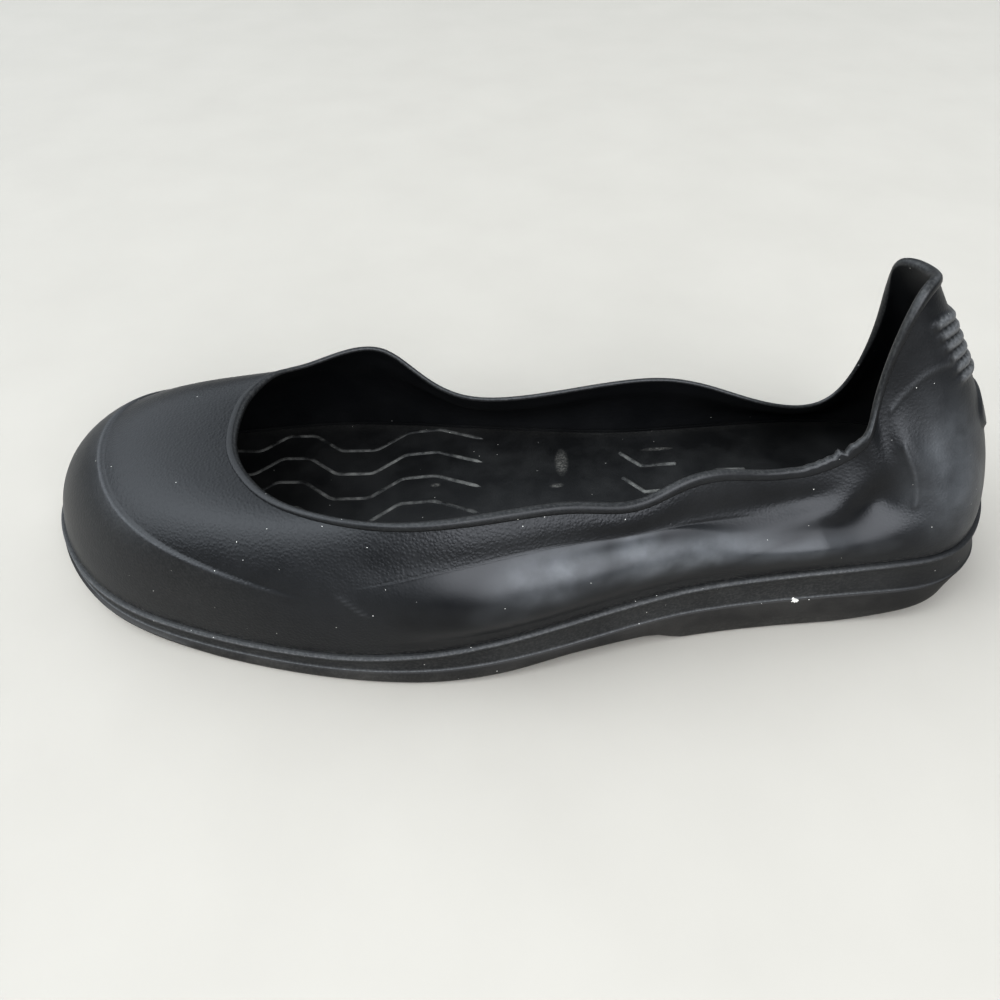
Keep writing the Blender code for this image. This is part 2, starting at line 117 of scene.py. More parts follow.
# Lines round the wall, as section number, share of the wall's length and strength there: the lip of the toe
# bumper, and the lower edge of the collar band, under which the side panel lies.
LINE_COLUMNS = ("section", "share", "strength")
BUMPER = {
    "inner_end":   (-3.8, 0.42, 0.0),
    "inner_side":  (-2.8, 0.46, 1.0),
    "toe_front":   (0.0, 0.46, 1.0),
    "outer_side":  (2.9, 0.46, 1.0),
    "outer_end":   (3.9, 0.42, 0.0),
}
PANEL = {
    "front_end":   (4.1, 0.56, 0.0),
    "front":       (4.8, 0.69, 1.0),
    "waist_front": (5.4, 0.73, 1.0),
    "waist":       (6.2, 0.69, 1.0),
    "heel_front":  (7.2, 0.66, 0.8),
    "heel_end":    (8.4, 0.50, 0.0),
}

# Soft troughs and ridges of the slack wall: section number and share of the wall at the middle of each, half
# its length in sections, half its height as a share, and its lift in millimetres.
FOLD_COLUMNS = ("section", "share", "half_length", "half_height", "lift")
FOLDS = {
    "belly_outer":        (5.4, 0.36, 1.1, 0.20, 1.6),
    "collar_hollow":      (5.8, 0.70, 1.3, 0.12, -1.6),
    "heel_dent_front":    (7.2, 0.73, 0.5, 0.12, -1.4),
    "heel_dent":          (7.9, 0.56, 0.4, 0.14, -3.0),
    "heel_dent_low":      (8.3, 0.38, 0.4, 0.12, -1.4),
    "heel_fold":          (8.75, 0.66, 0.25, 0.18, 1.4),
    "heel_swell":         (9.2, 0.30, 0.6, 0.16, 0.5),
    "inner_hollow":       (17.2, 0.72, 0.8, 0.16, -1.5),
}

# Softer swells of the rubber that only the surface shows, in the same columns.
SWELLS = {
    "panel_rear":     (6.90, 0.24, 0.55, 0.14, 1.5),
    "panel_front":    (5.15, 0.24, 0.50, 0.14, 1.2),
    "quarter_fill":   (7.50, 0.68, 0.60, 0.14, 1.6),
    "quarter_hollow": (7.50, 0.38, 0.70, 0.15, -1.6),
    "dent_low_fill":  (8.30, 0.38, 0.40, 0.12, 1.0),
}

# How the slack rim waves: section number at the middle of each wave, half its length in sections, and its
# rise and outward lean in millimetres. The wall follows the rim down to a share of its length.
RIM_WAVE_FOOT = 0.55
RIM_WAVE_COLUMNS = ("section", "half_length", "rise", "lean")
RIM_WAVES = {
    "waist_sag":   (5.82, 0.28, -3.8, 2.2),
    "waist_rise":  (6.46, 0.42, 4.8, -0.3),
    "notch_flare": (8.20, 0.30, -0.6, 1.6),
}

# Patches of milky haze on the outer side panel and the heel, which are also a painted sheen standing in for
# the
# reflection of the bright window there: section number and share of the wall at the middle of each, half its
# length in sections, half its height as a share, and its strength.
HAZE_AND_SHEEN_COLUMNS = ("section", "share", "half_length", "half_height", "strength")
HAZE = {
    "front_patch": (5.40, 0.51, 0.30, 0.20, 0.64),
    "front_low":   (5.15, 0.32, 0.18, 0.11, 0.16),
    "bright_spot": (5.84, 0.57, 0.13, 0.15, 0.70),
    "rear_patch":  (6.18, 0.41, 0.50, 0.15, 0.74),
    "rear_end":    (6.95, 0.27, 0.50, 0.10, 0.42),
    "rear_tail":   (7.60, 0.18, 0.40, 0.07, 0.20),
    "heel_film_and_sheen":   (9.20, 0.38, 0.90, 0.30, 0.52),
}

# Burrs where the rim was trimmed by hand: section number, half length in sections and height in millimetres.
BURR_COLUMNS = ("section", "half_length", "height")
BURRS = {
    "first":  (7.28, 0.05, 0.35),
    "second": (7.41, 0.04, 0.50),
    "third":  (7.53, 0.06, 0.60),
    "tall":   (7.68, 0.05, 1.30),
    "notch":  (7.77, 0.03, -0.40),
    "fifth":  (7.88, 0.06, 0.60),
    "last":   (8.02, 0.05, 0.30),
}

# Narrow creases and mould lines on the wall: their route as section and share, then height and half width in
# millimetres, and how far the rubber is whitened along them.
CREASE_COLUMNS = ("route", "height", "half_width", "whitened")
CREASES = {
    "side_nick":     (((4.08, 0.48), (4.30, 0.36)), 0.20, 0.6, 0.25),
    "heel_fold":     (((8.71, 0.71), (8.62, 0.57), (8.50, 0.47), (8.38, 0.40)), 0.30, 0.9, 0.25),
    "tab_line":      (
        ((8.83, 0.88), (9.17, 0.84), (9.50, 0.80), (9.83, 0.75), (10.5, 0.62)), 0.20, 0.7, 0.30,
    ),
    "tab_line_back": (((10.5, 0.62), (11.0, 0.59), (11.5, 0.62)), 0.20, 0.7, 0.20),
    "tab_line_far":  (
        ((11.5, 0.62), (12.17, 0.75), (12.5, 0.80), (12.83, 0.84), (13.17, 0.88)), 0.20, 0.7, 0.25,
    ),
}

# Worn pale marks on the footbed: their middle along and across the shoe, and half their size both ways, in
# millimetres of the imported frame. The chip of dry dirt on the sole's side lies there too.
SMEAR_COLUMNS = ("along", "across", "half_along", "half_across")
FOOTBED_SMEARS = {
    "long_scuff":  (19.5, 20.0, 2.6, 7.5),
    "scuff_end":   (17.5, 8.5, 2.6, 1.2),
    "dot":         (24.0, -1.0, 2.0, 1.0),
    "ball_mark":   (-24.0, 15.0, 2.0, 1.2),
    "heel_streak": (52.0, 23.0, 6.0, 1.0),
}
CHIP = (87.7, -36.0, 12.0)


class Level(Enum):
    """Heights of the sole that edges follow along the shoe."""

    WELT = "welt"
    PARTING = "parting"
    TREAD = "tread"


class Mask(Enum):
    """Vertex attributes that the rubber's nodes read, from 0 to 1."""

    GRAIN = "grain"
    PANEL = "panel"
    # On the upper the dust mask also carries the painted highlight along the heel ribs' crests.
    DUST = "dust"
    # Besides real whitening, the scar mask carries the painted highlight along the heel ribs' crests.
    SCAR = "scar"
    # The haze mask is milky bloom and also a painted sheen standing in for reflections on the panel and the
    # heel.
    HAZE = "haze"


# How far the sole's sides stand out, or below zero tuck in, at the heel's two back corners, in millimetres at
# each level. The corners lie a number of sections from the heel's back, and the flare fades on either side.
HEEL_FLARE = {Level.WELT: 0.0, Level.PARTING: 2.0, Level.TREAD: -1.6}
FLARE_AT = 1.2
FLARE_HALF = 0.7

# Side of each sole piece, from its underside to its top: distance outside the outline, the level that the
# edge follows, its lift over that level, and the dust and whitening that it has collected.
EDGE_COLUMNS = ("outset", "level", "lift", "dust", "scar")
OUTSOLE_EDGES = {
    "tread":        (-5.0, Level.TREAD, 0.0, 0.0, 0.0),
    "ground_edge":  (-0.4, Level.TREAD, 0.0, 0.0, 0.0),
    "ground_round": (0.6, Level.TREAD, 0.4, 0.0, 0.0),
    "ground_turn":  (1.05, Level.TREAD, 1.0, 0.0, 0.0),
    "flare":        (1.2, Level.TREAD, 2.0, 0.0, 0.0),
    "shoulder":     (0.4, Level.PARTING, -0.9, 0.0, 0.0),
    "top_round":    (0.15, Level.PARTING, -0.4, 0.0, 0.0),
    "top":          (-0.5, Level.PARTING, -0.15, 0.0, 0.0),
}
MIDSOLE_EDGES = {
    "underside":    (-0.5, Level.PARTING, 0.15, 0.0, 0.0),
    "flash_under":  (0.15, Level.PARTING, 0.2, 0.1, 0.15),
    "flash":        (0.5, Level.PARTING, 0.4, 0.2, 0.6),
    "flash_top":    (0.15, Level.PARTING, 0.7, 0.1, 0.15),
    "lower_edge":   (0.0, Level.PARTING, 1.1, 0.1, 0.0),
    "band":         (-0.2, Level.WELT, -2.7, 0.1, 0.0),
    "lip_root":     (-0.05, Level.WELT, -2.2, 0.15, 0.0),
    "lip_under":    (0.30, Level.WELT, -1.7, 0.05, 0.0),
    "lip_face":     (0.45, Level.WELT, -1.2, 0.10, 0.2),
    "lip_top":      (0.38, Level.WELT, -0.7, 0.30, 0.7),
    "lip_round":    (0.1, Level.WELT, -0.25, 0.10, 0.2),
    "ledge":        (-0.4, Level.WELT, 0.0, 0.10, 0.0),
    "tray_edge":    (-3.3, Level.WELT, 0.0, 0.0, 0.0),
    "tray_floor":   (-3.3, Level.WELT, -2.4, 0.0, 0.0),
}
FOOTBED_EDGES = {
    "underside":    (-3.6, Level.WELT, -2.1, 0.0, 0.0),
    "edge":         (-3.6, Level.WELT, -0.8, 0.3, 0.0),
    "edge_round":   (-3.9, Level.WELT, -0.25, 0.3, 0.0),
    "top":          (-4.6, Level.WELT, 0.0, 0.1, 0.0),
}


def smooth_step(value: Array) -> Array:
    """Rises softly from 0 to 1 as value does."""
    value = np.clip(value, 0.0, 1.0)
    return value * value * (3 - 2 * value)


def column(table: dict[str, tuple], columns: tuple[str, ...], name: str) -> Array:
    """One named column of a table."""
    return np.array([row[columns.index(name)] for row in table.values()], float)


def named_rows(table: dict[str, tuple], columns: tuple[str, ...]) -> list[dict[str, Any]]:
    """The rows of a table, with their values by column name."""
    return [dict(zip(columns, row)) for row in table.values()]


def smooth_profile(stations: Array, heights: Array) -> Profile:
    """Make a curve through heights that never rises or falls past them.

    Args:
        stations: Places along the curve, rising.
        heights: Height at each place.

    Returns:
        A function of the place.
    """
    step = np.diff(stations)
    rise = np.diff(heights) / step
    both = rise[:-1] * rise[1:]
    slope = np.zeros(len(stations))
    slope[0], slope[-1] = rise[0], rise[-1]
    total = np.where(both > 0, rise[:-1] + rise[1:], 1.0)
    slope[1:-1] = np.where(both > 0, 2 * both / total, 0.0)

    def height_at(place: Array) -> Array:
        """Height of the curve at each place."""
        place = np.clip(place, stations[0], stations[-1])
        i = np.clip(np.searchsorted(stations, place) - 1, 0, len(step) - 1)
        t = (place - stations[i]) / step[i]
        start = (1 + 2 * t) * (1 - t) ** 2 * heights[i] + t * (1 - t) ** 2 * step[i] * slope[i]
        end = t**2 * (3 - 2 * t) * heights[i + 1] + t**2 * (t - 1) * step[i] * slope[i + 1]
        return start + end

    return height_at


class ClosedSpline:
    """A smooth closed curve through the rows of a table, with one knot for each row."""

    def __init__(self, rows: Array, spacing: Array) -> None:
        """Solve for the curve's bends.

        Args:
            rows: Values at each knot.
            spacing: Distance from each knot to the next.
        """
        self.rows = rows
        self.step = spacing
        count = len(rows)
        before = np.roll(spacing, 1)
        matrix = np.zeros((count, count))
        for i in range(count):
            matrix[i, i - 1] += before[i]
            matrix[i, i] += 2 * (before[i] + spacing[i])
            matrix[i, (i + 1) % count] += spacing[i]
        rise = (np.roll(rows, -1, axis=0) - rows) / spacing[:, None]
        self.bend = np.linalg.solve(matrix, 6 * (rise - np.roll(rise, 1, axis=0)))

    def at(self, section: Array) -> Array:
        """Values at section numbers.

        Args:
            section: Section numbers, which may lie between rows.

        Returns:
            One row of values for each number.
        """
        low = np.floor(section).astype(int)
        share = (section - low)[:, None]
        i = low % len(self.rows)
        j = (i + 1) % len(self.rows)
        left = 1 - share
        span = self.step[i][:, None] ** 2 / 6
        curve = (left**3 - left) * self.bend[i] + (share**3 - share) * self.bend[j]
        return left * self.rows[i] + share * self.rows[j] + span * curve


@dataclass
class ShoeForm:
    """The shape that every piece follows: outline, collar, wall sections and the sole's levels."""

    length: float = 297.0
    ball_width: float = 112.0
    heel_height: float = 100.0
    welt_step: float = 1.0
    fit_gap: float = 0.3
    origin: tuple[float, float] = (148.52, -3.54)
    samples: int = 26
    curve_steps: int = 64
    section: Array = field(init=False)
    values: Array = field(init=False)
    flare: Array = field(init=False)
    level: dict[Level, Profile] = field(init=False)

    def __post_init__(self) -> None:
        """Work out the outline, the collar and the levels at every sample round the shoe."""
        along, across, rise = self.length / 100, self.ball_width / 100, self.heel_height / 100
        units = np.array((along, across, along, across, rise, 1.0, 1.0, 1.0, 1.0, 1.0))
        rows = np.array(list(SECTIONS.values()), float) * units
        outline = rows[:, :2]
        spacing = np.linalg.norm(np.roll(outline, -1, axis=0) - outline, axis=1)
        self.section = np.arange(self.samples * len(rows)) / self.samples
        self.values = ClosedSpline(rows, spacing).at(self.section)
        from_back = np.abs(self.section - HEEL_BACK)
        self.flare = np.exp(-(((from_back - FLARE_AT) / FLARE_HALF) ** 2))
        stations = column(SOLE, SOLE_COLUMNS, "along") * along
        self.level = {
            level: smooth_profile(stations, column(SOLE, SOLE_COLUMNS, level.value)) for level in Level
        }

    def get(self, name: str) -> Array:
        """One column of the section table at every sample."""
        return self.values[:, SECTION_COLUMNS.index(name)]

    def near_toe(self) -> Array:
        """Section numbers counted both ways from the toe."""
        half = len(SECTIONS) / 2
        return (self.section + half) % len(SECTIONS) - half

    def outline(self, distance: float | Array) -> Array:
        """The outline in plan, moved outwards.

        Args:
            distance: How far, for all samples or for each.

        Returns:
            One point for each sample.
        """
        points = self.values[:, :2]
        ahead = np.roll(points, -1, axis=0) - np.roll(points, 1, axis=0)
        outward = np.stack((ahead[:, 1], -ahead[:, 0]), axis=1)
        outward /= np.linalg.norm(outward, axis=1)[:, None]
        return points + np.reshape(distance, (-1, 1)) * outward

    def edge(self, distance: float, level: Level, lift: float) -> Array:
        """A closed loop that follows the sole.

        Args:
            distance: How far outside the outline it lies.
            level: Which of the sole's levels it follows.
            lift: How far over that level it lies.

        Returns:
            One point for each sample.
        """
        plan = self.outline(distance + HEEL_FLARE[level] * self.flare)
        return np.column_stack((plan, self.level[level](plan[:, 0]) + lift))

    def wall_curves(self) -> tuple[Array, Array]:
        """Work out the wall's curve from foot to rim in every section.

        Returns:
            The points of each curve, and how far from its foot each point lies.
        """
        foot = self.edge(-self.welt_step, Level.WELT, self.fit_gap)
        rim = np.column_stack((self.get("rim_along"), self.get("rim_across"), self.get("rim_rise")))
        out = foot - rim
        out[:, 2] = 0.0
        out /= np.linalg.norm(out, axis=1)[:, None]
        height = (rim - foot)[:, 2][:, None]
        push = {name: self.get(name)[:, None] * height for name in SECTION_COLUMNS}
        low = foot + out * push["belly"] + UP * push["belly_rise"]
        high = rim + out * push["shoulder"] - UP * push["shoulder_drop"]
        t = np.linspace(0, 1, self.curve_steps + 1)[None, :, None]
        curve = (
            (1 - t) ** 3 * foot[:, None]
            + 3 * t * (1 - t) ** 2 * low[:, None]
            + 3 * t**2 * (1 - t) * high[:, None]
            + t**3 * rim[:, None]
        )
        pieces = np.linalg.norm(np.diff(curve, axis=1), axis=2)
        start = np.zeros((len(foot), 1))
        return curve, np.concatenate((start, np.cumsum(pieces, axis=1)), axis=1)

    def wall_points(self, curve: Array, travelled: Array, distances: Array) -> tuple[Array, Array]:
        """Find points on the wall and its outward normals.

        Args:
            curve: Points of each section's curve.
            travelled: How far from its foot each of those lies.
            distances: Where points are wanted in each section.

        Returns:
            The points and the normals there.
        """
        points = np.empty(distances.shape + (3,))
        for i in range(len(curve)):
            for axis in range(3):
                points[i, :, axis] = np.interp(distances[i], travelled[i], curve[i, :, axis])
        around = np.roll(points, -1, axis=0) - np.roll(points, 1, axis=0)
        rising = np.sign(distances[:, -1:] - distances[:, :1])
        normal = np.cross(around, np.gradient(points, axis=1) * rising[:, :, None])
        return points, normal / np.linalg.norm(normal, axis=2)[:, :, None]


def skin(
    name: str, form: ShoeForm, rings: Array, masks: dict[Mask, Array], wrap: bool = False
) -> bpy.types.Object:
    """Make a closed mesh whose surface runs through rings of points.

    Args:
        name: Name of the piece.
        form: The shoe's form, whose origin the mesh is placed round.
        rings: Points by ring, then by place round the ring.
        masks: Value of each attribute at each point.
        wrap: Whether the last ring joins the first.

    Returns:
        The new object, linked to the scene.
    """
    if wrap:
        rings = np.concatenate((rings, rings[:1]))
        masks = {mask: np.concatenate((values, values[:1])) for mask, values in masks.items()}
    rings = np.concatenate((rings, rings[:, :1]), axis=1)
    masks = {mask: np.concatenate((values, values[:, :1]), axis=1) for mask, values in masks.items()}
    points = (rings - np.array((*form.origin, 0.0))).reshape(-1, 3) * MM
    bm = bmesh.new()
    layers = {mask: bm.verts.layers.float.new(mask.value) for mask in masks}
    bmesh.ops.create_grid(bm, x_segments=rings.shape[1] - 1, y_segments=len(rings) - 1, size=1.0)
    for vert, point in zip(bm.verts, points.tolist()):
        vert.co = point
    for mask, layer in layers.items():
        for vert, value in zip(bm.verts, masks[mask].ravel().tolist()):
            vert[layer] = value
    bmesh.ops.remove_doubles(bm, verts=bm.verts, dist=WELD)
    bmesh.ops.dissolve_degenerate(bm, edges=bm.edges, dist=WELD)
    bmesh.ops.recalc_face_normals(bm, faces=bm.faces)
    return linked(name, bm)


def linked(name: str, bm: bmesh.types.BMesh) -> bpy.types.Object:
    """Turn a finished bmesh into a smooth object in the scene, and free it.

    Args:
        name: Name of the object.
        bm: The finished bmesh.

    Returns:
        The new object.
    """
    mesh = bpy.data.meshes.new(name)
    bm.to_mesh(mesh)
    bm.free()
    mesh.shade_smooth()
    mesh.set_sharp_from_angle(angle=SHARP_ANGLE)
    piece = bpy.data.objects.new(name, mesh)
    bpy.context.scene.collection.objects.link(piece)
    return piece


def linear(code: str) -> tuple[float, float, float, float]:
    """Turn a hex sRGB colour to a linear one."""
    parts = (int(code[i:i + 2], 16) / 255 for i in (1, 3, 5))
    return (*(p / 12.92 if p <= 0.04045 else ((p + 0.055) / 1.055) ** 2.4 for p in parts), 1.0)


def add_node(tree: Tree, kind: str, settings: Options = None, inputs: Options = None) -> bpy.types.Node:
    """Add one node.

    Args:
        tree: The node tree.
        kind: Blender's name for the node, without its first word.
        settings: Values of the node's own properties.
        inputs: Values of its inputs, or output sockets to join to them, by name or number.

    Returns:
        The new node.
    """
    node = tree.nodes.new(f"ShaderNode{kind}")
    for key, value in (settings or {}).items():
        setattr(node, key, value)
    for key, value in (inputs or {}).items():
        if isinstance(value, bpy.types.NodeSocket):
            tree.links.new(value, node.inputs[key])
        else:
            node.inputs[key].default_value = value
    return node


def work_out(tree: Tree, operation: str, *terms: Any, clamp: bool = False) -> Any:
    """Add one step of arithmetic.

    Args:
        tree: The node tree.
        operation: Blender's name for the step.
        terms: Numbers or sockets, in the node's order.
        clamp: Whether the result is kept between 0 and 1.

    Returns:
        The result's socket.
    """
    settings = {"operation": operation, "use_clamp": clamp}
    return add_node(tree, "Math", settings, dict(enumerate(terms))).outputs[0]


def vector_step(tree: Tree, operation: str, *terms: Any) -> bpy.types.Node:
    """Add one step of vector arithmetic, and return its node."""
    return add_node(tree, "VectorMath", {"operation": operation}, dict(enumerate(terms)))


def remap(tree: Tree, value: Any, ends: Pair, to: Pair = (0.0, 1.0), soft: bool = False) -> Any:
    """Stretch one range of a value to another, and hold it at the ends.

    Args:
        tree: The node tree.
        value: The value's socket.
        ends: Where the range starts and ends.
        to: What those become.
        soft: Whether the value eases in and out.

    Returns:
        The result's socket.
    """
    settings = {"interpolation_type": "SMOOTHSTEP" if soft else "LINEAR"}
    inputs = {"Value": value, "From Min": ends[0], "From Max": ends[1], "To Min": to[0], "To Max": to[1]}
    return add_node(tree, "MapRange", settings, inputs).outputs[0]


def noise(tree: Tree, place: Any, size: float, detail: float = 2.0, roughness: float = 0.5) -> bpy.types.Node:
    """Add cloudy noise.

    Args:
        tree: The node tree.
        place: Object coordinates.
        size: Size of the clouds in millimetres.
        detail: How many finer layers they have.
        roughness: How strong those are.

    Returns:
        The noise node.
    """
    inputs = {"Vector": place, "Scale": 1 / (size * MM), "Detail": detail, "Roughness": roughness}
    return add_node(tree, "TexNoise", {}, inputs)


def blend(tree: Tree, share: Any, first: Any, second: Any) -> Any:
    """Mix two colours by a share of the second, and return the result's socket."""
    return add_node(tree, "Mix", {"data_type": "RGBA"}, {0: share, 6: first, 7: second}).outputs[2]


def cells(tree: Tree, place: Any, size: float) -> Any:
    """Distance from the middle of cells of a size in millimetres, in cells."""
    return add_node(tree, "TexVoronoi", {}, {"Vector": place, "Scale": 1 / (size * MM)}).outputs["Distance"]


@dataclass(frozen=True)
class RubberFinish:
    """Black rubber from a steel mould: satin, with dust in its corners, milky haze that is also a painted
    sheen, pale worn edges and a painted highlight on the heel ribs' crests.
    """

    name: str
    base: str = "#0b0d10"
    bloom: str = "#131518"
    # The dust and scar colours also paint the highlight along the heel ribs' crests.
    dust: str = "#8b8983"
    scar: str = "#656667"
    # Colour of the milky haze, which also paints the sheen where the window would reflect on the panel and
    # the heel.
    haze: str = "#6b6d6f"
    speck: str = "#b9b7b1"
    refraction: float = 1.5
    specular: float = 0.5
    roughness: float = 0.36
    panel_polish: float = 0.08
    patch_mm: float = 34.0
    patch_range: Pair = (0.40, 0.70)
    patch_rough: float = 0.10
    dust_rough: float = 0.3
    film: float = 0.02
    floor_dust: float = 0.0
    floor_dust_mm: float = 6.0
    grit_mm: float = 0.8
    grit_range: Pair = (0.42, 0.68)
    grit_least: float = 0.25
    rub_least: float = 0.5
    # Blotches of the haze and of its painted sheen.
    haze_and_sheen_mm: float = 9.0
    haze_and_sheen_range: Pair = (0.32, 0.66)
    haze_and_sheen_least: float = 0.45
    grain_mm: float = 0.9
    grain_depth_mm: float = 0.045
    grain_drift: float = 0.5
    drift_grains: float = 2.0
    pebble_range: Pair = (0.1, 0.75)
    even_grain: float = 0.0
    wave_mm: float = 30.0
    wave_depth_mm: float = 1.2
    speck_gap_mm: float = 5.0
    speck_mm: float = 0.17
    chip_at: tuple[float, float, float] | None = None
    chip_mm: float = 1.5
    crumb_mm: float = 1.3
    smears: tuple[tuple[float, float, float, float], ...] = ()
    smear_core: float = 0.5
    smear_strength: float = 0.45

    def material(self) -> bpy.types.Material:
        """Build the rubber's nodes.

        Returns:
            The material, on object coordinates and the pieces' own attributes.
        """
        material = bpy.data.materials.new(self.name)
        material.use_nodes = True
        tree = material.node_tree
        shader = tree.nodes["Principled BSDF"]
        shader.inputs["IOR"].default_value = self.refraction
        shader.inputs["Specular IOR Level"].default_value = self.specular
        place = add_node(tree, "TexCoord").outputs["Object"]
        mask = {m: add_node(tree, "Attribute", {"attribute_name": m.value}).outputs["Fac"] for m in Mask}
        patches, grit, dust = self.dirt(tree, place, mask)
        colour = self.colour(tree, place, mask, patches, grit, dust)
        tree.links.new(colour, shader.inputs["Base Color"])
        tree.links.new(self.gloss(tree, mask, patches, dust), shader.inputs["Roughness"])
        tree.links.new(self.relief(tree, place, mask), shader.inputs["Normal"])
        return material

    def dirt(self, tree: Tree, place: Any, mask: dict[Mask, Any]) -> tuple[Any, Any, Any]:
        """Broad patches of bloom, fine grit, and the dust that both make.

        Args:
            tree: The node tree.
            place: Object coordinates.
            mask: The pieces' attributes.

        Returns:
            Sockets of the patches, the grit and the dust.
        """
        cloud = noise(tree, place, self.patch_mm, detail=5.0, roughness=0.62).outputs[0]
        patches = remap(tree, cloud, self.patch_range)
        sand = noise(tree, place, self.grit_mm).outputs[0]
        grit = remap(tree, sand, self.grit_range, (self.grit_least, 1.0))
        settled = work_out(tree, "MULTIPLY", mask[Mask.DUST], grit)
        filmed = work_out(tree, "MULTIPLY_ADD", patches, self.film, settled)
        height = add_node(tree, "SeparateXYZ", {}, {0: place}).outputs["Z"]
        low = remap(tree, height, (0.0, self.floor_dust_mm * MM), (1.0, 0.0))
        gritty = work_out(tree, "MULTIPLY", low, grit)
        dust = work_out(tree, "MULTIPLY_ADD", gritty, self.floor_dust, filmed, clamp=True)
        for row in self.smears:
            smear = dict(zip(SMEAR_COLUMNS, row))
            middle = (smear["along"] * MM, smear["across"] * MM, 0.0)
            shrink = (1 / (smear["half_along"] * MM), 1 / (smear["half_across"] * MM), 0.0)
            off = vector_step(tree, "SUBTRACT", place, middle).outputs[0]
            shrunk = vector_step(tree, "MULTIPLY", off, shrink).outputs[0]
            reach = vector_step(tree, "LENGTH", shrunk).outputs["Value"]
            rubbed = work_out(tree, "MULTIPLY", remap(tree, reach, (1.0, self.smear_core)), grit)
            dust = work_out(tree, "MULTIPLY_ADD", rubbed, self.smear_strength, dust, clamp=True)
        return patches, grit, dust

    def colour(
        self, tree: Tree, place: Any, mask: dict[Mask, Any], patches: Any, grit: Any, dust: Any
    ) -> Any:
        """Black rubber under bloom, dust, haze that is also a painted sheen, whitened edges with a painted
        highlight on the rib crests, specks and a chip of pale dirt.

        Args:
            tree: The node tree.
            place: Object coordinates.
            mask: The pieces' attributes.
            patches: Broad patches of bloom.
            grit: Fine grit.
            dust: Dust over the rubber.

        Returns:
            The colour's socket.
        """
        rubber = blend(tree, patches, linear(self.base), linear(self.bloom))
        dusted = blend(tree, dust, rubber, linear(self.dust))
        # The haze colour is partly milky bloom and partly a painted sheen that stands in for reflections on
        # the panel and the heel.
        blotch = noise(tree, place, self.haze_and_sheen_mm, detail=4.0).outputs[0]
        cloud = remap(tree, blotch, self.haze_and_sheen_range, (self.haze_and_sheen_least, 1.0))
        clouded = work_out(tree, "MULTIPLY", mask[Mask.HAZE], cloud)
        haze_and_sheen_colour = blend(tree, clouded, dusted, linear(self.haze))
        rubbed = work_out(tree, "MULTIPLY_ADD", grit, 1 - self.rub_least, self.rub_least)
        whitened = work_out(tree, "MULTIPLY", mask[Mask.SCAR], rubbed)
        scarred = blend(tree, whitened, haze_and_sheen_colour, linear(self.scar))
        from_speck = cells(tree, place, self.speck_gap_mm)
        spot = work_out(tree, "LESS_THAN", from_speck, self.speck_mm / self.speck_gap_mm)
        speckled = blend(tree, spot, scarred, linear(self.speck))
        if self.chip_at is None:
            return speckled
        crumb = noise(tree, place, self.crumb_mm).outputs[0]
        away = vector_step(tree, "DISTANCE", place, tuple(c * MM for c in self.chip_at)).outputs["Value"]
        ragged = work_out(tree, "MULTIPLY_ADD", crumb, 2 * self.crumb_mm * MM, away)
        chip = work_out(tree, "LESS_THAN", ragged, (self.chip_mm + self.crumb_mm) * MM)
        return blend(tree, chip, speckled, linear(self.speck))

    def gloss(self, tree: Tree, mask: dict[Mask, Any], patches: Any, dust: Any) -> Any:
        """Roughness: smoother on the side panel, uneven with the bloom, dull under dust.

        Args:
            tree: The node tree.
            mask: The pieces' attributes.
            patches: Broad patches of bloom.
            dust: Dust over the rubber.

        Returns:
            The roughness socket.
        """
        polished = work_out(tree, "MULTIPLY_ADD", mask[Mask.PANEL], -self.panel_polish, self.roughness)
        uneven = work_out(tree, "MULTIPLY_ADD", patches, self.patch_rough, polished)
        return work_out(tree, "MULTIPLY_ADD", dust, self.dust_rough, uneven)

    def relief(self, tree: Tree, place: Any, mask: dict[Mask, Any]) -> Any:
        """Soft waves of the slack panel, under the moulded leather grain.

        Args:
            tree: The node tree.
            place: Object coordinates.
            mask: The pieces' attributes.

        Returns:
            The normal's socket.
        """
        swell = noise(tree, place, self.wave_mm, detail=1.0).outputs[0]
        slack = work_out(tree, "MULTIPLY", swell, mask[Mask.PANEL])
        wave_depth = {"Distance": self.wave_depth_mm * MM, "Strength": 1.0}
        waves = add_node(tree, "Bump", {}, {**wave_depth, "Height": slack}).outputs[0]
        drift = noise(tree, place, self.drift_grains * self.grain_mm).outputs["Color"]
        warp = (self.grain_drift * self.grain_mm * MM,) * 3
        warped = vector_step(tree, "MULTIPLY_ADD", drift, warp, place).outputs[0]
        pebble = remap(tree, cells(tree, warped, self.grain_mm), self.pebble_range, (1.0, 0.0), soft=True)
        share = work_out(tree, "ADD", mask[Mask.GRAIN], self.even_grain, clamp=True)
        grained = work_out(tree, "MULTIPLY", pebble, share)
        grain_depth = {"Distance": self.grain_depth_mm * MM, "Strength": 1.0}
        return add_node(tree, "Bump", {}, {**grain_depth, "Height": grained, "Normal": waves}).outputs[0]


UPPER_RUBBER = RubberFinish("moulded_grained_rubber")
MIDSOLE_RUBBER = RubberFinish("moulded_satin_rubber", roughness=0.5, film=0.05, even_grain=0.25, chip_at=CHIP)
OUTSOLE_RUBBER = RubberFinish(
    "moulded_tread_rubber", base="#1a1918", bloom="#242220", roughness=0.5, film=0.08, floor_dust=0.14,
    even_grain=0.3, chip_at=CHIP,
)
FOOTBED_RUBBER = RubberFinish(
    "matt_footbed_rubber", base="#0f1011", bloom="#191a1b", roughness=0.55, film=0.04, patch_mm=16.0,
    even_grain=0.35, grain_mm=0.8, smears=tuple(FOOTBED_SMEARS.values()),
)
WAVE_RUBBER = RubberFinish(
    "dusty_rib_rubber", base="#1d1e1e", bloom="#72726f", roughness=0.65, film=0.2, patch_mm=7.0, grit_mm=1.4,
    even_grain=0.3,
)


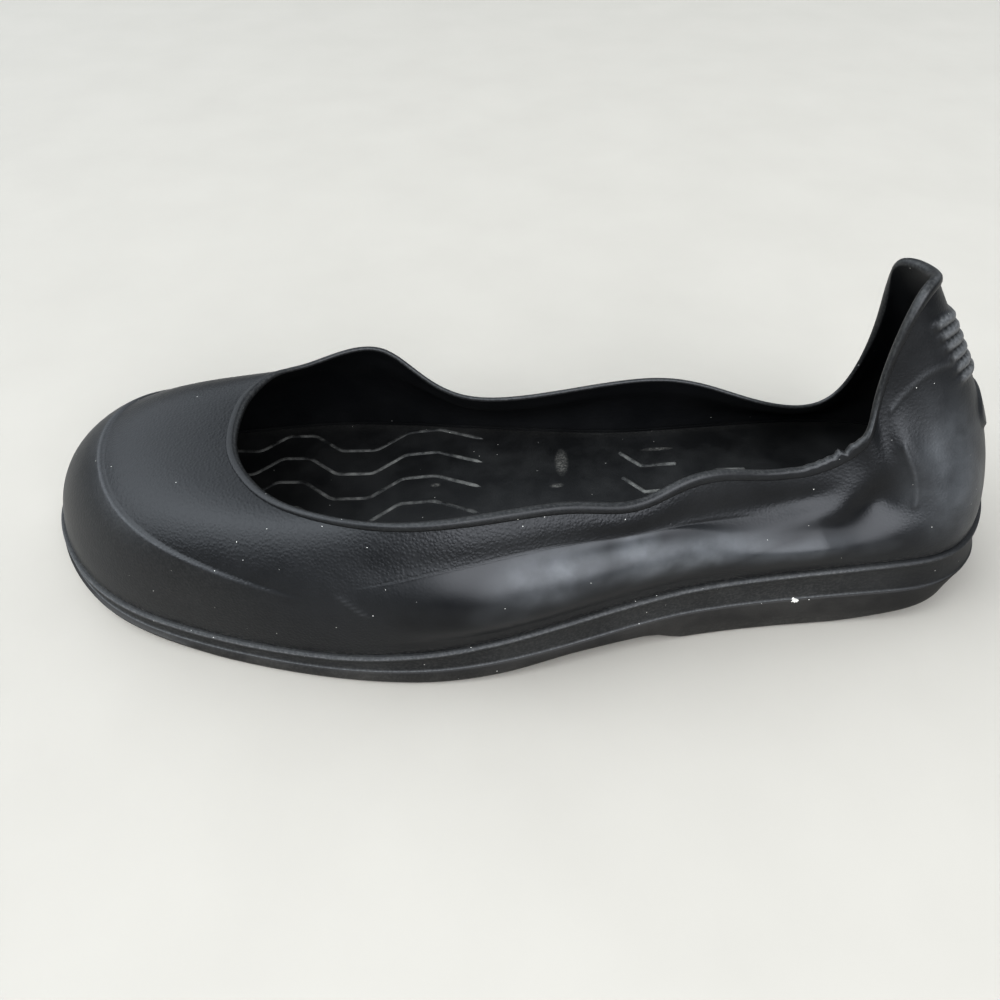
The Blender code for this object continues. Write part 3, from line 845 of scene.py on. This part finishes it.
@dataclass(frozen=True)
class UpperWear:
    """How grain, dust, whitening and haze vary over the upper, with the haze's painted sheen and the rib
    crests' painted highlight, as shares, sections and millimetres.
    """

    rear_grain: float = 0.5
    rear_reach: float = 6.0
    rear_fade: float = 2.0
    panel_smooth: float = 0.95
    bumper_smooth: float = 0.55
    bead_smooth: float = 0.8
    bead_core: float = 0.3
    lining_grain: float = 0.15
    foot_dust: float = 0.25
    foot_reach: float = 1.2
    bead_dust: float = 0.05
    bumper_dust: float = 0.05
    edge_dust: float = 0.12
    # Painted highlight along the heel ribs' crests, laid into the dust and whitening masks.
    crest_from: float = 0.4
    crest_fade: float = 0.4
    crest_highlight_dust: float = 0.3
    crest_highlight_scar: float = 0.8
    lip_scar: float = 0.3
    # Where the haze, partly a painted sheen, reaches behind the panel onto the heel.
    haze_and_sheen_from: float = 7.4
    haze_and_sheen_fade: float = 0.6
    haze_and_sheen_falloff: float = 1.5


@dataclass
class Upper:
    """The hollow upper: wall, toe bumper, collar band and bead, side panels, heel ribs and creases."""

    form: ShoeForm
    wear: UpperWear = UpperWear()
    wall: float = 2.0
    bead_width: float = 2.0
    bead_height: float = 1.3
    rim_round: float = 1.4
    bumper_height: float = 0.7
    bumper_fade: float = 0.3
    bumper_drop: float = 0.018
    bumper_edge: float = 0.02
    lip_half: float = 0.007
    panel_depth: float = 0.6
    panel_crisp: float = 6.0
    panel_fade: float = 0.9
    panel_edge: float = 0.03
    panel_blur: float = 0.25
    panel_foot: float = 0.12
    crease_core: float = 0.6
    rib_count: int = 6
    rib_height: float = 1.1
    rib_margin: float = 3.8
    rib_sag: float = 0.06
    rib_fullness: float = 0.8
    ribs_from: float = 0.66
    ribs_to: float = 0.96
    rib_reach: float = 1.12
    rib_fade: float = 0.28
    far_rim: float = 1.1
    far_bead: float = 0.35
    far_from: float = 1.6
    far_fade: float = 1.2
    far_toe: float = 1.0
    far_toe_fade: float = 1.5
    thin_from: float = 0.75
    torn_from: float = 0.4
    oval_share: float = 0.40
    oval_half_height: float = 8.0
    oval_half_width: float = 14.0
    oval_height: float = 0.8
    oval_edge: float = 0.14
    body_rings: int = 112
    bead_rings: int = 13
    cap_rings: int = 5
    inner_rings: int = 20

    def line(self, table: dict[str, tuple], section: Array) -> tuple[Array, Array]:
        """A line round the wall.

        Args:
            table: The line's rows of section, share and strength.
            section: Section numbers.

        Returns:
            The line's share and its strength at each section.
        """
        place = column(table, LINE_COLUMNS, "section")
        share = smooth_profile(place, column(table, LINE_COLUMNS, "share"))(section)
        strength = smooth_profile(place, column(table, LINE_COLUMNS, "strength"))(section)
        inside = (section > place[0]) & (section < place[-1])
        return share[:, None], (strength * inside)[:, None]

    def near(self, section: float, half_length: float) -> Array:
        """How near each sample lies to a section, from 0 to 1."""
        return np.exp(-(((self.form.section - section) / half_length) ** 2))

    def folds(self, table: dict[str, tuple], shares: Array) -> Array:
        """How far a table's folds lift the wall.

        Args:
            table: Rows of folds.
            shares: Shares of the wall's length in each section.

        Returns:
            The lift in millimetres.
        """
        half = len(SECTIONS) / 2
        lift = np.zeros(shares.shape)
        for fold in named_rows(table, FOLD_COLUMNS):
            away = (self.form.section - fold["section"] + half) % len(SECTIONS) - half
            around = (away[:, None] / fold["half_length"]) ** 2
            upward = ((shares - fold["share"]) / fold["half_height"]) ** 2
            lift += fold["lift"] * np.exp(-around - upward)
        return lift

    def ribs(self, shares: Array) -> Array:
        """The heel ribs.

        Args:
            shares: Shares of the wall below the rim's plain margin.

        Returns:
            Their height in millimetres.
        """
        from_back = np.abs(self.form.section - HEEL_BACK) / self.rib_reach
        window = smooth_step((1 - from_back) * self.rib_reach / self.rib_fade)
        sag = self.rib_sag * np.clip(1 - from_back**2, 0.0, 1.0)[:, None]
        phase = (shares + sag - self.ribs_from) / (self.ribs_to - self.ribs_from)
        wave = np.abs(np.sin(np.pi * self.rib_count * phase)) ** self.rib_fullness
        return self.rib_height * window[:, None] * wave * ((phase > 0) & (phase < 1))

    def panel(self, shares: Array) -> tuple[Array, Array]:
        """The side panels, on both sides of the shoe.

        Args:
            shares: Shares of the wall's length in each section.

        Returns:
            Where the panels are smooth, and how far their recess under the band's edge has its full depth.
        """
        place = np.minimum(self.form.section, len(SECTIONS) - self.form.section)
        line, strength = self.line(PANEL, place)
        crisp = 1 - smooth_step((place - self.panel_crisp) / self.panel_fade)[:, None]
        softness = self.panel_edge + self.panel_blur * (1 - crisp)
        smooth = strength * smooth_step((line - shares) / softness)
        return smooth, crisp * strength * smooth_step((line - shares) / self.panel_edge)

    def bumper(self, shares: Array) -> tuple[Array, Array, Array]:
        """The toe bumper.

        Args:
            shares: Shares of the wall's length in each section.

        Returns:
            The height of its lip, where it lies, and the worn edge of the lip.
        """
        line, strength = self.line(BUMPER, self.form.near_toe())
        below = line - shares
        under = smooth_step(below / self.bumper_fade)
        fade = np.where(below >= 0, under, smooth_step(-below / self.bumper_drop))
        worn = strength * np.exp(-((below / self.lip_half) ** 2))
        lip = self.bumper_height * strength * (1 - fade)
        return lip, strength * smooth_step(below / self.bumper_edge), worn

    def creases(self, shares: Array, length: Array, spread: Array) -> tuple[Array, Array]:
        """Narrow creases and mould lines.

        Args:
            shares: Shares of the wall's length in each section.
            length: The wall's length in each section.
            spread: Millimetres to a section at each point.

        Returns:
            Their height, and how far the rubber is whitened.
        """
        height = np.zeros(shares.shape)
        scar = np.zeros(shares.shape)
        for crease in named_rows(CREASES, CREASE_COLUMNS):
            route, half = crease["route"], crease["half_width"]
            nearest = np.full(shares.shape, np.inf)
            for (section, share), (next_section, next_share) in zip(route[:-1], route[1:]):
                x = (self.form.section[:, None] - section) * spread
                y = (shares - share) * length
                run = (next_section - section) * spread
                rise = (next_share - share) * length
                t = np.clip((x * run + y * rise) / (run**2 + rise**2), 0.0, 1.0)
                nearest = np.minimum(nearest, np.hypot(x - t * run, y - t * rise))
            height += crease["height"] * np.exp(-((nearest / half) ** 2))
            core = np.exp(-((nearest / (self.crease_core * half)) ** 2))
            scar = np.maximum(scar, crease["whitened"] * core)
        return height, scar

    def oval(self, shares: Array, length: Array, spread: Array) -> Array:
        """The plain oval pad on the heel's back.

        Args:
            shares: Shares of the wall's length in each section.
            length: The wall's length in each section.
            spread: Millimetres to a section at each point.

        Returns:
            Its height in millimetres.
        """
        x = (self.form.section[:, None] - HEEL_BACK) * spread / self.oval_half_width
        y = (shares - self.oval_share) * length / self.oval_half_height
        return self.oval_height * smooth_step((1 - np.hypot(x, y)) / self.oval_edge)

    def haze(self, shares: Array) -> Array:
        """Milky haze on the outer side panel and the heel, which is also a painted sheen standing in for
        reflections there.

        Args:
            shares: Shares of the wall's length in each section.

        Returns:
            How thickly it lies, from 0 to 1.
        """
        cover = np.zeros(shares.shape)
        for patch in named_rows(HAZE, HAZE_AND_SHEEN_COLUMNS):
            around = ((self.form.section[:, None] - patch["section"]) / patch["half_length"]) ** 2
            upward = ((shares - patch["share"]) / patch["half_height"]) ** 2
            fade = np.exp(-((around + upward) ** self.wear.haze_and_sheen_falloff))
            cover = np.maximum(cover, patch["strength"] * fade)
        return cover

    def torn(self) -> Array:
        """How far the burrs of the roughly trimmed rim stand up in each section."""
        burrs = named_rows(BURRS, BURR_COLUMNS)
        return sum(burr["height"] * self.near(burr["section"], burr["half_length"]) for burr in burrs)

    def sway(self, outward: Array) -> Array:
        """The waves of the slack rim.

        Args:
            outward: The wall's normal at the rim in each section.

        Returns:
            How far the rim moves in each section, with room for rings.
        """
        moved = np.zeros(outward.shape)
        for wave in named_rows(RIM_WAVES, RIM_WAVE_COLUMNS):
            near = self.near(wave["section"], wave["half_length"])[:, None]
            moved += near * (wave["rise"] * UP + wave["lean"] * outward)
        return moved[:, None]

    def follow(self, shares: Array) -> Array:
        """How far the wall follows the rim, at shares of its length."""
        return smooth_step((shares - RIM_WAVE_FOOT) / (1 - RIM_WAVE_FOOT))[:, :, None]

    def far_side(self) -> Array:
        """How far each section lies on the inner side, where the rim is thin."""
        from_back = smooth_step((self.form.section - HEEL_BACK - self.far_from) / self.far_fade)
        to_toe = smooth_step((len(SECTIONS) - self.far_toe - self.form.section) / self.far_toe_fade)
        return (from_back * to_toe)[:, None]

    def surface(self, wall: Array, at: Array, length: Array, bead: Array) -> tuple[Array, dict[Mask, Array]]:
        """The outer face's relief, and the wear of the whole upper.

        Args:
            wall: Points of the plain wall by section, then from foot to rim.
            at: How far from the foot each of them lies.
            length: The wall's length in each section.
            bead: How far each of them lies up on the collar bead.

        Returns:
            The relief in millimetres, and the masks of the outer face, the rim and the lining.
        """
        wear, section = self.wear, self.form.section
        shares = at / length
        pitch = np.linalg.norm(np.roll(wall, -1, axis=0) - np.roll(wall, 1, axis=0), axis=2) / 2
        spread = pitch * self.form.samples
        lip, bumper, worn = self.bumper(shares)
        crease, scar = self.creases(shares, length, spread)
        panel, recess = self.panel(shares)
        ribs = self.ribs(at / (length - self.rib_margin))
        relief = lip + crease + ribs + self.oval(shares, length, spread) + self.bead_height * bead
        relief += self.folds(FOLDS, shares) + self.folds(SWELLS, shares)
        relief -= self.panel_depth * recess * smooth_step(shares / self.panel_foot)

        # Painted highlight: the ribs' crests are lightened through the dust and whitening masks, standing in
        # for light catching them.
        lit_crests = smooth_step((ribs / self.rib_height - wear.crest_from) / wear.crest_fade)
        dust = wear.foot_dust * np.exp(-at / wear.foot_reach) + wear.crest_highlight_dust * lit_crests
        dust += wear.bead_dust * bead + wear.bumper_dust * bumper
        rear = smooth_step((wear.rear_reach - np.abs(section - HEEL_BACK)) / wear.rear_fade)[:, None]
        grain = 1.0 - (1.0 - wear.rear_grain) * rear - wear.panel_smooth * panel
        grain -= wear.bumper_smooth * bumper + wear.bead_smooth * (bead > wear.bead_core)
        # The haze mask paints sheen as well as bloom, on the panel and on the heel behind it.
        behind = smooth_step((section - wear.haze_and_sheen_from) / wear.haze_and_sheen_fade)[:, None]
        whitened = np.maximum.reduce((scar, wear.lip_scar * worn, wear.crest_highlight_scar * lit_crests))
        rest = np.zeros((len(at), self.cap_rings + self.inner_rings))
        edge = np.zeros_like(rest)
        edge[:, : self.cap_rings] = wear.edge_dust
        masks = {
            Mask.GRAIN: (np.clip(grain, 0.0, 1.0), rest + wear.lining_grain),
            Mask.PANEL: (panel, rest),
            Mask.DUST: (dust, edge),
            Mask.SCAR: (whitened, edge),
            Mask.HAZE: (self.haze(shares) * np.maximum(panel, behind), rest),
        }
        return relief, {mask: np.concatenate(parts, axis=1) for mask, parts in masks.items()}

    def build(self) -> bpy.types.Object:
        """Make the upper and dress it.

        Returns:
            The finished piece.
        """
        form = self.form
        curve, travelled = form.wall_curves()
        length = travelled[:, -1:]
        below = (length - self.bead_width) * np.linspace(0, 1, self.body_rings, endpoint=False)
        across = np.linspace(0, 1, self.bead_rings)
        at = np.concatenate((below, length - self.bead_width * (1 - across)), axis=1)
        wall, outward = form.wall_points(curve, travelled, at)
        far = self.far_side()
        roll = form.get("bead")[:, None] * (1 - (1 - self.far_bead) * far)
        bead = np.zeros(at.shape)
        bead[:, self.body_rings:] = np.sqrt(1 - (1 - across) ** 2) * roll
        relief, masks = self.surface(wall, at, length, bead)
        outer = wall + relief[:, :, None] * outward

        up = wall[:, -1] - wall[:, -2]
        up /= np.linalg.norm(up, axis=1)[:, None]
        turn = np.linspace(0, np.pi, self.cap_rings + 2)[1:-1]
        edge_wall = self.wall + (self.far_rim - self.wall) * far
        radius = (edge_wall + self.bead_height * roll) / 2
        inset = radius * (np.cos(turn) + 1) - edge_wall
        rise = np.minimum(radius, self.rim_round) * np.sin(turn)
        cap = wall[:, -1:] + inset[:, :, None] * outward[:, -1:] + rise[:, :, None] * up[:, None]

        inner_at = length * np.linspace(1, 0, self.inner_rings)
        inner_shares = inner_at / length
        lining, lining_out = form.wall_points(curve, travelled, inner_at)
        thin = smooth_step((inner_shares - self.thin_from) / (1 - self.thin_from))
        thick = self.wall + (edge_wall - self.wall) * thin
        inner = lining + (self.folds(FOLDS, inner_shares) - thick)[:, :, None] * lining_out
        inner[:, -1, 2] = outer[:, 0, 2]

        sway = self.sway(outward[:, -1])
        torn = (self.torn()[:, None] * up)[:, None]
        ragged = smooth_step((across - self.torn_from) / (1 - self.torn_from))
        outer += sway * self.follow(at / length)
        outer[:, self.body_rings:] += torn * ragged[None, :, None]
        cap += sway + torn
        inner += sway * self.follow(inner_shares)
        inner[:, :1] += torn
        rings = np.concatenate((outer, cap, inner), axis=1).transpose(1, 0, 2)
        piece = skin("upper_shell", form, rings, {m: v.T for m, v in masks.items()}, wrap=True)
        return dressed(piece, UPPER_RUBBER.material(), "upper")


def spine(loop: Array) -> Array:
    """The line half way between a loop's outer and inner sides, which closes a slab across the foot."""
    return (loop + np.roll(loop[::-1], 1, axis=0)) / 2


def dressed(
    piece: bpy.types.Object, material: bpy.types.Material, node: str | None
) -> bpy.types.Object:
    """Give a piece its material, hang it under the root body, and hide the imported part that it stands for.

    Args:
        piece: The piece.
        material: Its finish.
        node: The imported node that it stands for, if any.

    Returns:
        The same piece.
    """
    piece.data.materials.append(material)
    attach(piece, "root")
    if node is not None:
        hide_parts(node)
    log.info("%s: %d faces", piece.name, len(piece.data.polygons))
    return piece


@dataclass
class SolePiece:
    """One slab of the sole, whose side follows a table of edges."""

    form: ShoeForm
    name: str
    edges: dict[str, tuple]
    top_rings: int = 1
    heel_reach: float = 4.2
    heel_fade: float = 1.8
    heel_worn: float = 0.3

    def slab(self) -> bpy.types.Object:
        """Make the slab from the middle of its underside, round its side, to the middle of its top.

        Returns:
            The slab, not yet dressed.
        """
        loops = []
        dust = []
        scar = []
        for edge in named_rows(self.edges, EDGE_COLUMNS):
            loops.append(self.form.edge(edge["outset"], edge["level"], edge["lift"]))
            dust.append(edge["dust"])
            scar.append(edge["scar"])
        top = loops[-1]
        middle = spine(top)
        steps = [k / self.top_rings for k in range(1, self.top_rings + 1)]
        rings = np.array([spine(loops[0]), *loops, *(top + (middle - top) * step for step in steps)])
        bare = [0.0] * self.top_rings
        at_heel = smooth_step((self.heel_reach - np.abs(self.form.section - HEEL_BACK)) / self.heel_fade)
        around = 1 - (1 - self.heel_worn) * at_heel
        masks = {
            Mask.DUST: np.outer([0.0, *dust, *bare], around),
            Mask.SCAR: np.outer([0.0, *scar, *bare], around),
        }
        return skin(self.name, self.form, rings, masks)


@dataclass
class Midsole(SolePiece):
    """The band between the welt's lip and the mould's parting line, with the tray for the footbed."""

    name: str = "midsole_band"
    edges: dict[str, tuple] = field(default_factory=lambda: MIDSOLE_EDGES)

    def build(self) -> bpy.types.Object:
        """Make the band and dress it."""
        return dressed(self.slab(), MIDSOLE_RUBBER.material(), "midsole")


@dataclass
class Outsole(SolePiece):
    """The tread slab: toe spring, arch, heel block and zigzag grooves between lugs."""

    name: str = "outsole_tread"
    edges: dict[str, tuple] = field(default_factory=lambda: OUTSOLE_EDGES)
    groove_width: float = 4.0
    groove_depth: float = 2.4
    groove_margin: float = 9.0
    groove_sway: float = 4.0
    groove_points: int = 5
    cutter_drop: float = 1.0
    grooves: tuple[float, ...] = (12.0, 16.5, 21.0, 25.5, 30.0, 34.5, 39.0, 72.5, 77.0, 81.5, 86.0, 90.5)

    def groove_line(self, along: float) -> list[tuple[float, float]]:
        """One zigzag groove across the sole.

        Args:
            along: Its place in percent of the length from the toe.

        Returns:
            The groove's corners in plan.
        """
        outline = self.form.outline(-self.groove_margin)
        half = len(outline) // 2
        x = along * self.form.length / 100
        outer_y = np.interp(x, outline[: half + 1, 0], outline[: half + 1, 1])
        inner_y = np.interp(-x, -outline[half:, 0], outline[half:, 1])
        across = np.linspace(outer_y, inner_y, self.groove_points)
        return [(x + self.groove_sway * (-1) ** bend, y) for bend, y in enumerate(across)]

    def cutter(self) -> bpy.types.Object:
        """Make one solid for all the grooves.

        Returns:
            The solid to take away from the slab.
        """
        bm = bmesh.new()
        origin = self.form.origin
        for along in self.grooves:
            top = float(self.form.level[Level.TREAD](along * self.form.length / 100)) + self.groove_depth
            strips = []
            for side in (-self.groove_width / 2, self.groove_width / 2):
                corners = [(x + side - origin[0], y - origin[1], top) for x, y in self.groove_line(along)]
                strips.append([bm.verts.new(Vector(corner) * MM) for corner in corners])
            front, back = strips
            faces = [bm.faces.new(four) for four in zip(front, front[1:], back[1:], back)]
            grown = bmesh.ops.extrude_face_region(bm, geom=faces, use_keep_orig=True)
            for item in grown["geom"]:
                if isinstance(item, bmesh.types.BMVert):
                    item.co.z = -self.cutter_drop * MM
        bmesh.ops.recalc_face_normals(bm, faces=bm.faces)
        return linked("groove_cutter", bm)

    def build(self) -> bpy.types.Object:
        """Make the slab, cut its grooves and dress it.

        Returns:
            The finished piece.
        """
        slab = self.slab()
        cutter = self.cutter()
        cut = slab.modifiers.new("grooves", "BOOLEAN")
        cut.operation = "DIFFERENCE"
        cut.object = cutter
        cut.solver = "EXACT"
        graph = bpy.context.evaluated_depsgraph_get()
        mesh = bpy.data.meshes.new_from_object(slab.evaluated_get(graph))
        slab.modifiers.clear()
        slab.data = mesh
        mesh.name = self.name
        mesh.set_sharp_from_angle(angle=SHARP_ANGLE)
        bpy.data.objects.remove(cutter)
        return dressed(slab, OUTSOLE_RUBBER.material(), "outsole")


@dataclass
class Footbed(SolePiece):
    """The insole in the tray of the midsole."""

    name: str = "footbed"
    edges: dict[str, tuple] = field(default_factory=lambda: FOOTBED_EDGES)
    top_rings: int = 12

    def build(self) -> bpy.types.Object:
        """Make the footbed and dress it."""
        return dressed(self.slab(), FOOTBED_RUBBER.material(), "insole")


@dataclass
class FootbedWaves:
    """Low zigzag ribs on the footbed, pale with dust, under the ball of the foot and the heel."""

    form: ShoeForm
    width: float = 1.6
    height: float = 0.5
    sink: float = 0.15
    sides: int = 8
    steps: int = 160
    corner_round: int = 5
    taper_steps: float = 5.0
    underside: float = -0.3
    sway: float = 8.8
    gap: float = 12.6
    ball_first: float = 36.2
    ball_count: int = 6
    ball_corners: tuple[tuple[float, float], ...] = (
        (-110.0, 1.0), (-104.0, 0.0), (-90.0, 0.0), (-81.0, 1.0), (-71.0, 1.0), (-60.0, 0.0),
        (-47.0, 0.0), (-36.0, 1.0), (-24.0, 1.0), (-7.0, 0.0),
    )
    heel_first: float = 15.0
    heel_count: int = 3
    heel_corners: tuple[tuple[float, float], ...] = ((39.0, 0.9), (46.0, 0.0), (58.0, 0.0))
    heel_tail: tuple[tuple[float, float], ...] = ((66.0, 0.8), (71.0, 1.0), (80.0, 1.0))

    def route(self, corners: tuple[tuple[float, float], ...], low: float) -> Array:
        """One wave's middle line.

        Args:
            corners: Place along the shoe and share of the sway at each bend.
            low: Where the wave's low side lies across the shoe.

        Returns:
            Points along the line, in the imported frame.
        """
        x, y = np.array(corners).T
        along = np.linspace(x[0], x[-1], self.steps)
        across = low + self.sway * np.interp(along, x, y)
        soft = np.ones(self.corner_round) / self.corner_round
        padded = np.pad(across, self.corner_round // 2, mode="edge")
        across = np.convolve(padded, soft, mode="valid")
        top = self.form.level[Level.WELT](along + self.form.origin[0])
        return np.column_stack((along, across, top - self.sink))

    def rib(self, bm: bmesh.types.BMesh, line: Array) -> None:
        """Add one half-round rib, tapering to a point at both ends.

        Args:
            bm: The bmesh to add to.
            line: Points along the rib's middle.
        """
        ahead = np.gradient(line, axis=0)
        aside = np.column_stack((-ahead[:, 1], ahead[:, 0], np.zeros(len(line))))
        aside /= np.linalg.norm(aside, axis=1)[:, None]
        ends = np.minimum(np.arange(len(line)), np.arange(len(line))[::-1])
        taper = smooth_step(ends / self.taper_steps)[:, None]
        start = len(bm.verts)
        bmesh.ops.create_grid(bm, x_segments=self.sides, y_segments=len(line) - 1, size=1.0)
        bm.verts.ensure_lookup_table()
        for k in range(self.sides + 1):
            turn = 2 * math.pi * k / self.sides
            lift = (self.height + self.sink) * max(math.sin(turn), self.underside)
            loop = line + taper * (aside * self.width / 2 * math.cos(turn) + UP * lift)
            for i, point in enumerate(loop.tolist()):
                bm.verts[start + i * (self.sides + 1) + k].co = Vector(point) * MM

    def build(self) -> bpy.types.Object:
        """Make all the ribs as one piece and dress it.

        Returns:
            The finished piece.
        """
        bm = bmesh.new()
        for row in range(self.ball_count):
            self.rib(bm, self.route(self.ball_corners, self.ball_first - self.gap * row))
        for row in range(self.heel_count):
            self.rib(bm, self.route(self.heel_corners, self.heel_first - self.gap * row))
        self.rib(bm, self.route(self.heel_tail, self.heel_first - self.gap))
        bmesh.ops.remove_doubles(bm, verts=bm.verts, dist=WELD)
        bmesh.ops.dissolve_degenerate(bm, edges=bm.edges, dist=WELD)
        bmesh.ops.recalc_face_normals(bm, faces=bm.faces)
        return dressed(linked("footbed_waves", bm), WAVE_RUBBER.material(), None)


@dataclass(frozen=True)
class SkyLobe:
    """A part of the surround that is brighter than the rest, angles in degrees from the front."""

    azimuth: float
    elevation: float
    strength: float
    core: float
    edge: float

    def direction(self) -> tuple[float, float, float]:
        """Unit vector towards the middle of the lobe."""
        azimuth, elevation = math.radians(self.azimuth), math.radians(self.elevation)
        flat = math.cos(elevation)
        return flat * math.sin(azimuth), -flat * math.cos(azimuth), math.sin(elevation)


@dataclass
class Studio:
    """Pale floor under an even sky with brighter parts on both sides, a window in front, and the camera."""

    floor_colour: str = "#a6a29b"
    floor_mottle: str = "#a09c95"
    floor_half: float = 3.0
    floor_cells: int = 8
    floor_rough: float = 0.75
    mottle_mm: float = 50.0
    sky: str = "#eaf0f6"
    sky_strength: float = 0.32
    lobes: tuple[SkyLobe, ...] = (
        SkyLobe(-75.0, 46.0, 4.5, 33.0, 44.0),
        SkyLobe(-134.0, 40.0, 2.8, 22.0, 38.0),
        SkyLobe(125.0, 40.0, 1.8, 15.0, 45.0),
        SkyLobe(-66.0, 52.0, 7.5, 6.0, 26.0),
    )
    window_place: tuple[float, float, float] = (0.58, -1.88, 1.55)
    window_size: Pair = (2.1, 2.3)
    window_power: float = 110.0
    window_colour: str = "#f6f9ff"
    target: tuple[float, float, float] = (-0.0015, 0.0035, 0.017)
    azimuth: float = 1.5
    elevation: float = 44.5
    roll: float = -1.2
    distance: float = 0.276
    focal_px: float = 830.0
    frame_px: float = 1000.0
    sensor_mm: float = 36.0
    clip_start: float = 0.01
    tone_gamma: float = 0.72
    exposure: float = -0.12

    def floor(self) -> None:
        """A sheet of pale board with faint mottling."""
        bm = bmesh.new()
        count = self.floor_cells
        bmesh.ops.create_grid(bm, x_segments=count, y_segments=count, size=self.floor_half)
        piece = linked("floor", bm)
        material = bpy.data.materials.new("pale_board")
        material.use_nodes = True
        tree = material.node_tree
        shader = tree.nodes["Principled BSDF"]
        shader.inputs["Roughness"].default_value = self.floor_rough
        place = add_node(tree, "TexCoord").outputs["Object"]
        mottle = noise(tree, place, self.mottle_mm, detail=4.0).outputs[0]
        tone = blend(tree, mottle, linear(self.floor_colour), linear(self.floor_mottle))
        tree.links.new(tone, shader.inputs["Base Color"])
        piece.data.materials.append(material)

    def window(self) -> None:
        """Hang one oblong soft light in front, aimed at the shoe."""
        lamp = bpy.data.lights.new("front_window", "AREA")
        lamp.shape = "RECTANGLE"
        lamp.size, lamp.size_y = self.window_size
        lamp.energy = self.window_power
        lamp.color = linear(self.window_colour)[:3]
        holder = bpy.data.objects.new("front_window", lamp)
        holder.location = self.window_place
        aim = Vector(self.target) - Vector(self.window_place)
        holder.rotation_euler = aim.to_track_quat("-Z", "Y").to_euler()
        bpy.context.scene.collection.objects.link(holder)

    def light(self) -> None:
        """Light the shoe by an even surround with brighter parts, and one window."""
        world = bpy.data.worlds.new("surround")
        bpy.context.scene.world = world
        world.use_nodes = True
        tree = world.node_tree
        glow = tree.nodes["Background"]
        glow.inputs["Color"].default_value = linear(self.sky)
        toward = add_node(tree, "TexCoord").outputs["Generated"]
        strength = self.sky_strength
        for lobe in self.lobes:
            facing = vector_step(tree, "DOT_PRODUCT", toward, lobe.direction()).outputs["Value"]
            ends = (math.cos(math.radians(lobe.edge)), math.cos(math.radians(lobe.core)))
            inside = remap(tree, facing, ends, (0.0, lobe.strength), soft=True)
            strength = work_out(tree, "MAXIMUM", strength, inside)
        tree.links.new(strength, glow.inputs["Strength"])
        self.window()

    def camera(self) -> None:
        """Stand the camera at the photograph's angle."""
        azimuth, elevation, roll = (math.radians(a) for a in (self.azimuth, self.elevation, self.roll))
        back = Vector((
            math.sin(azimuth) * math.cos(elevation),
            -math.cos(azimuth) * math.cos(elevation),
            math.sin(elevation),
        ))
        right = Vector((math.cos(azimuth), math.sin(azimuth), 0.0))
        up = back.cross(right)
        rolled_right = right * math.cos(roll) + up * math.sin(roll)
        rolled_up = up * math.cos(roll) - right * math.sin(roll)
        turn = Matrix((rolled_right, rolled_up, back)).transposed().to_4x4()
        lens = bpy.data.cameras.new("photo_camera")
        lens.sensor_width = self.sensor_mm
        lens.lens = self.focal_px / self.frame_px * self.sensor_mm
        lens.clip_start = self.clip_start
        holder = bpy.data.objects.new("photo_camera", lens)
        bpy.context.scene.collection.objects.link(holder)
        holder.matrix_world = Matrix.Translation(Vector(self.target) + back * self.distance) @ turn
        bpy.context.scene.camera = holder
        view = bpy.context.scene.view_settings
        view.view_transform = "Standard"
        view.gamma = self.tone_gamma
        view.exposure = self.exposure

    def build(self) -> None:
        """Set up the camera, the lights and the floor."""
        self.camera()
        self.light()
        self.floor()


def main() -> None:
    """Build the studio and every piece of the shoe."""
    logging.basicConfig(level=logging.INFO, format="%(name)s: %(message)s")
    Studio().build()
    fine = ShoeForm()
    medium = ShoeForm(samples=12)
    for maker in (Upper(fine), Midsole(fine), Outsole(medium), Footbed(medium), FootbedWaves(fine)):
        maker.build()


if __name__ == "__main__":
    main()
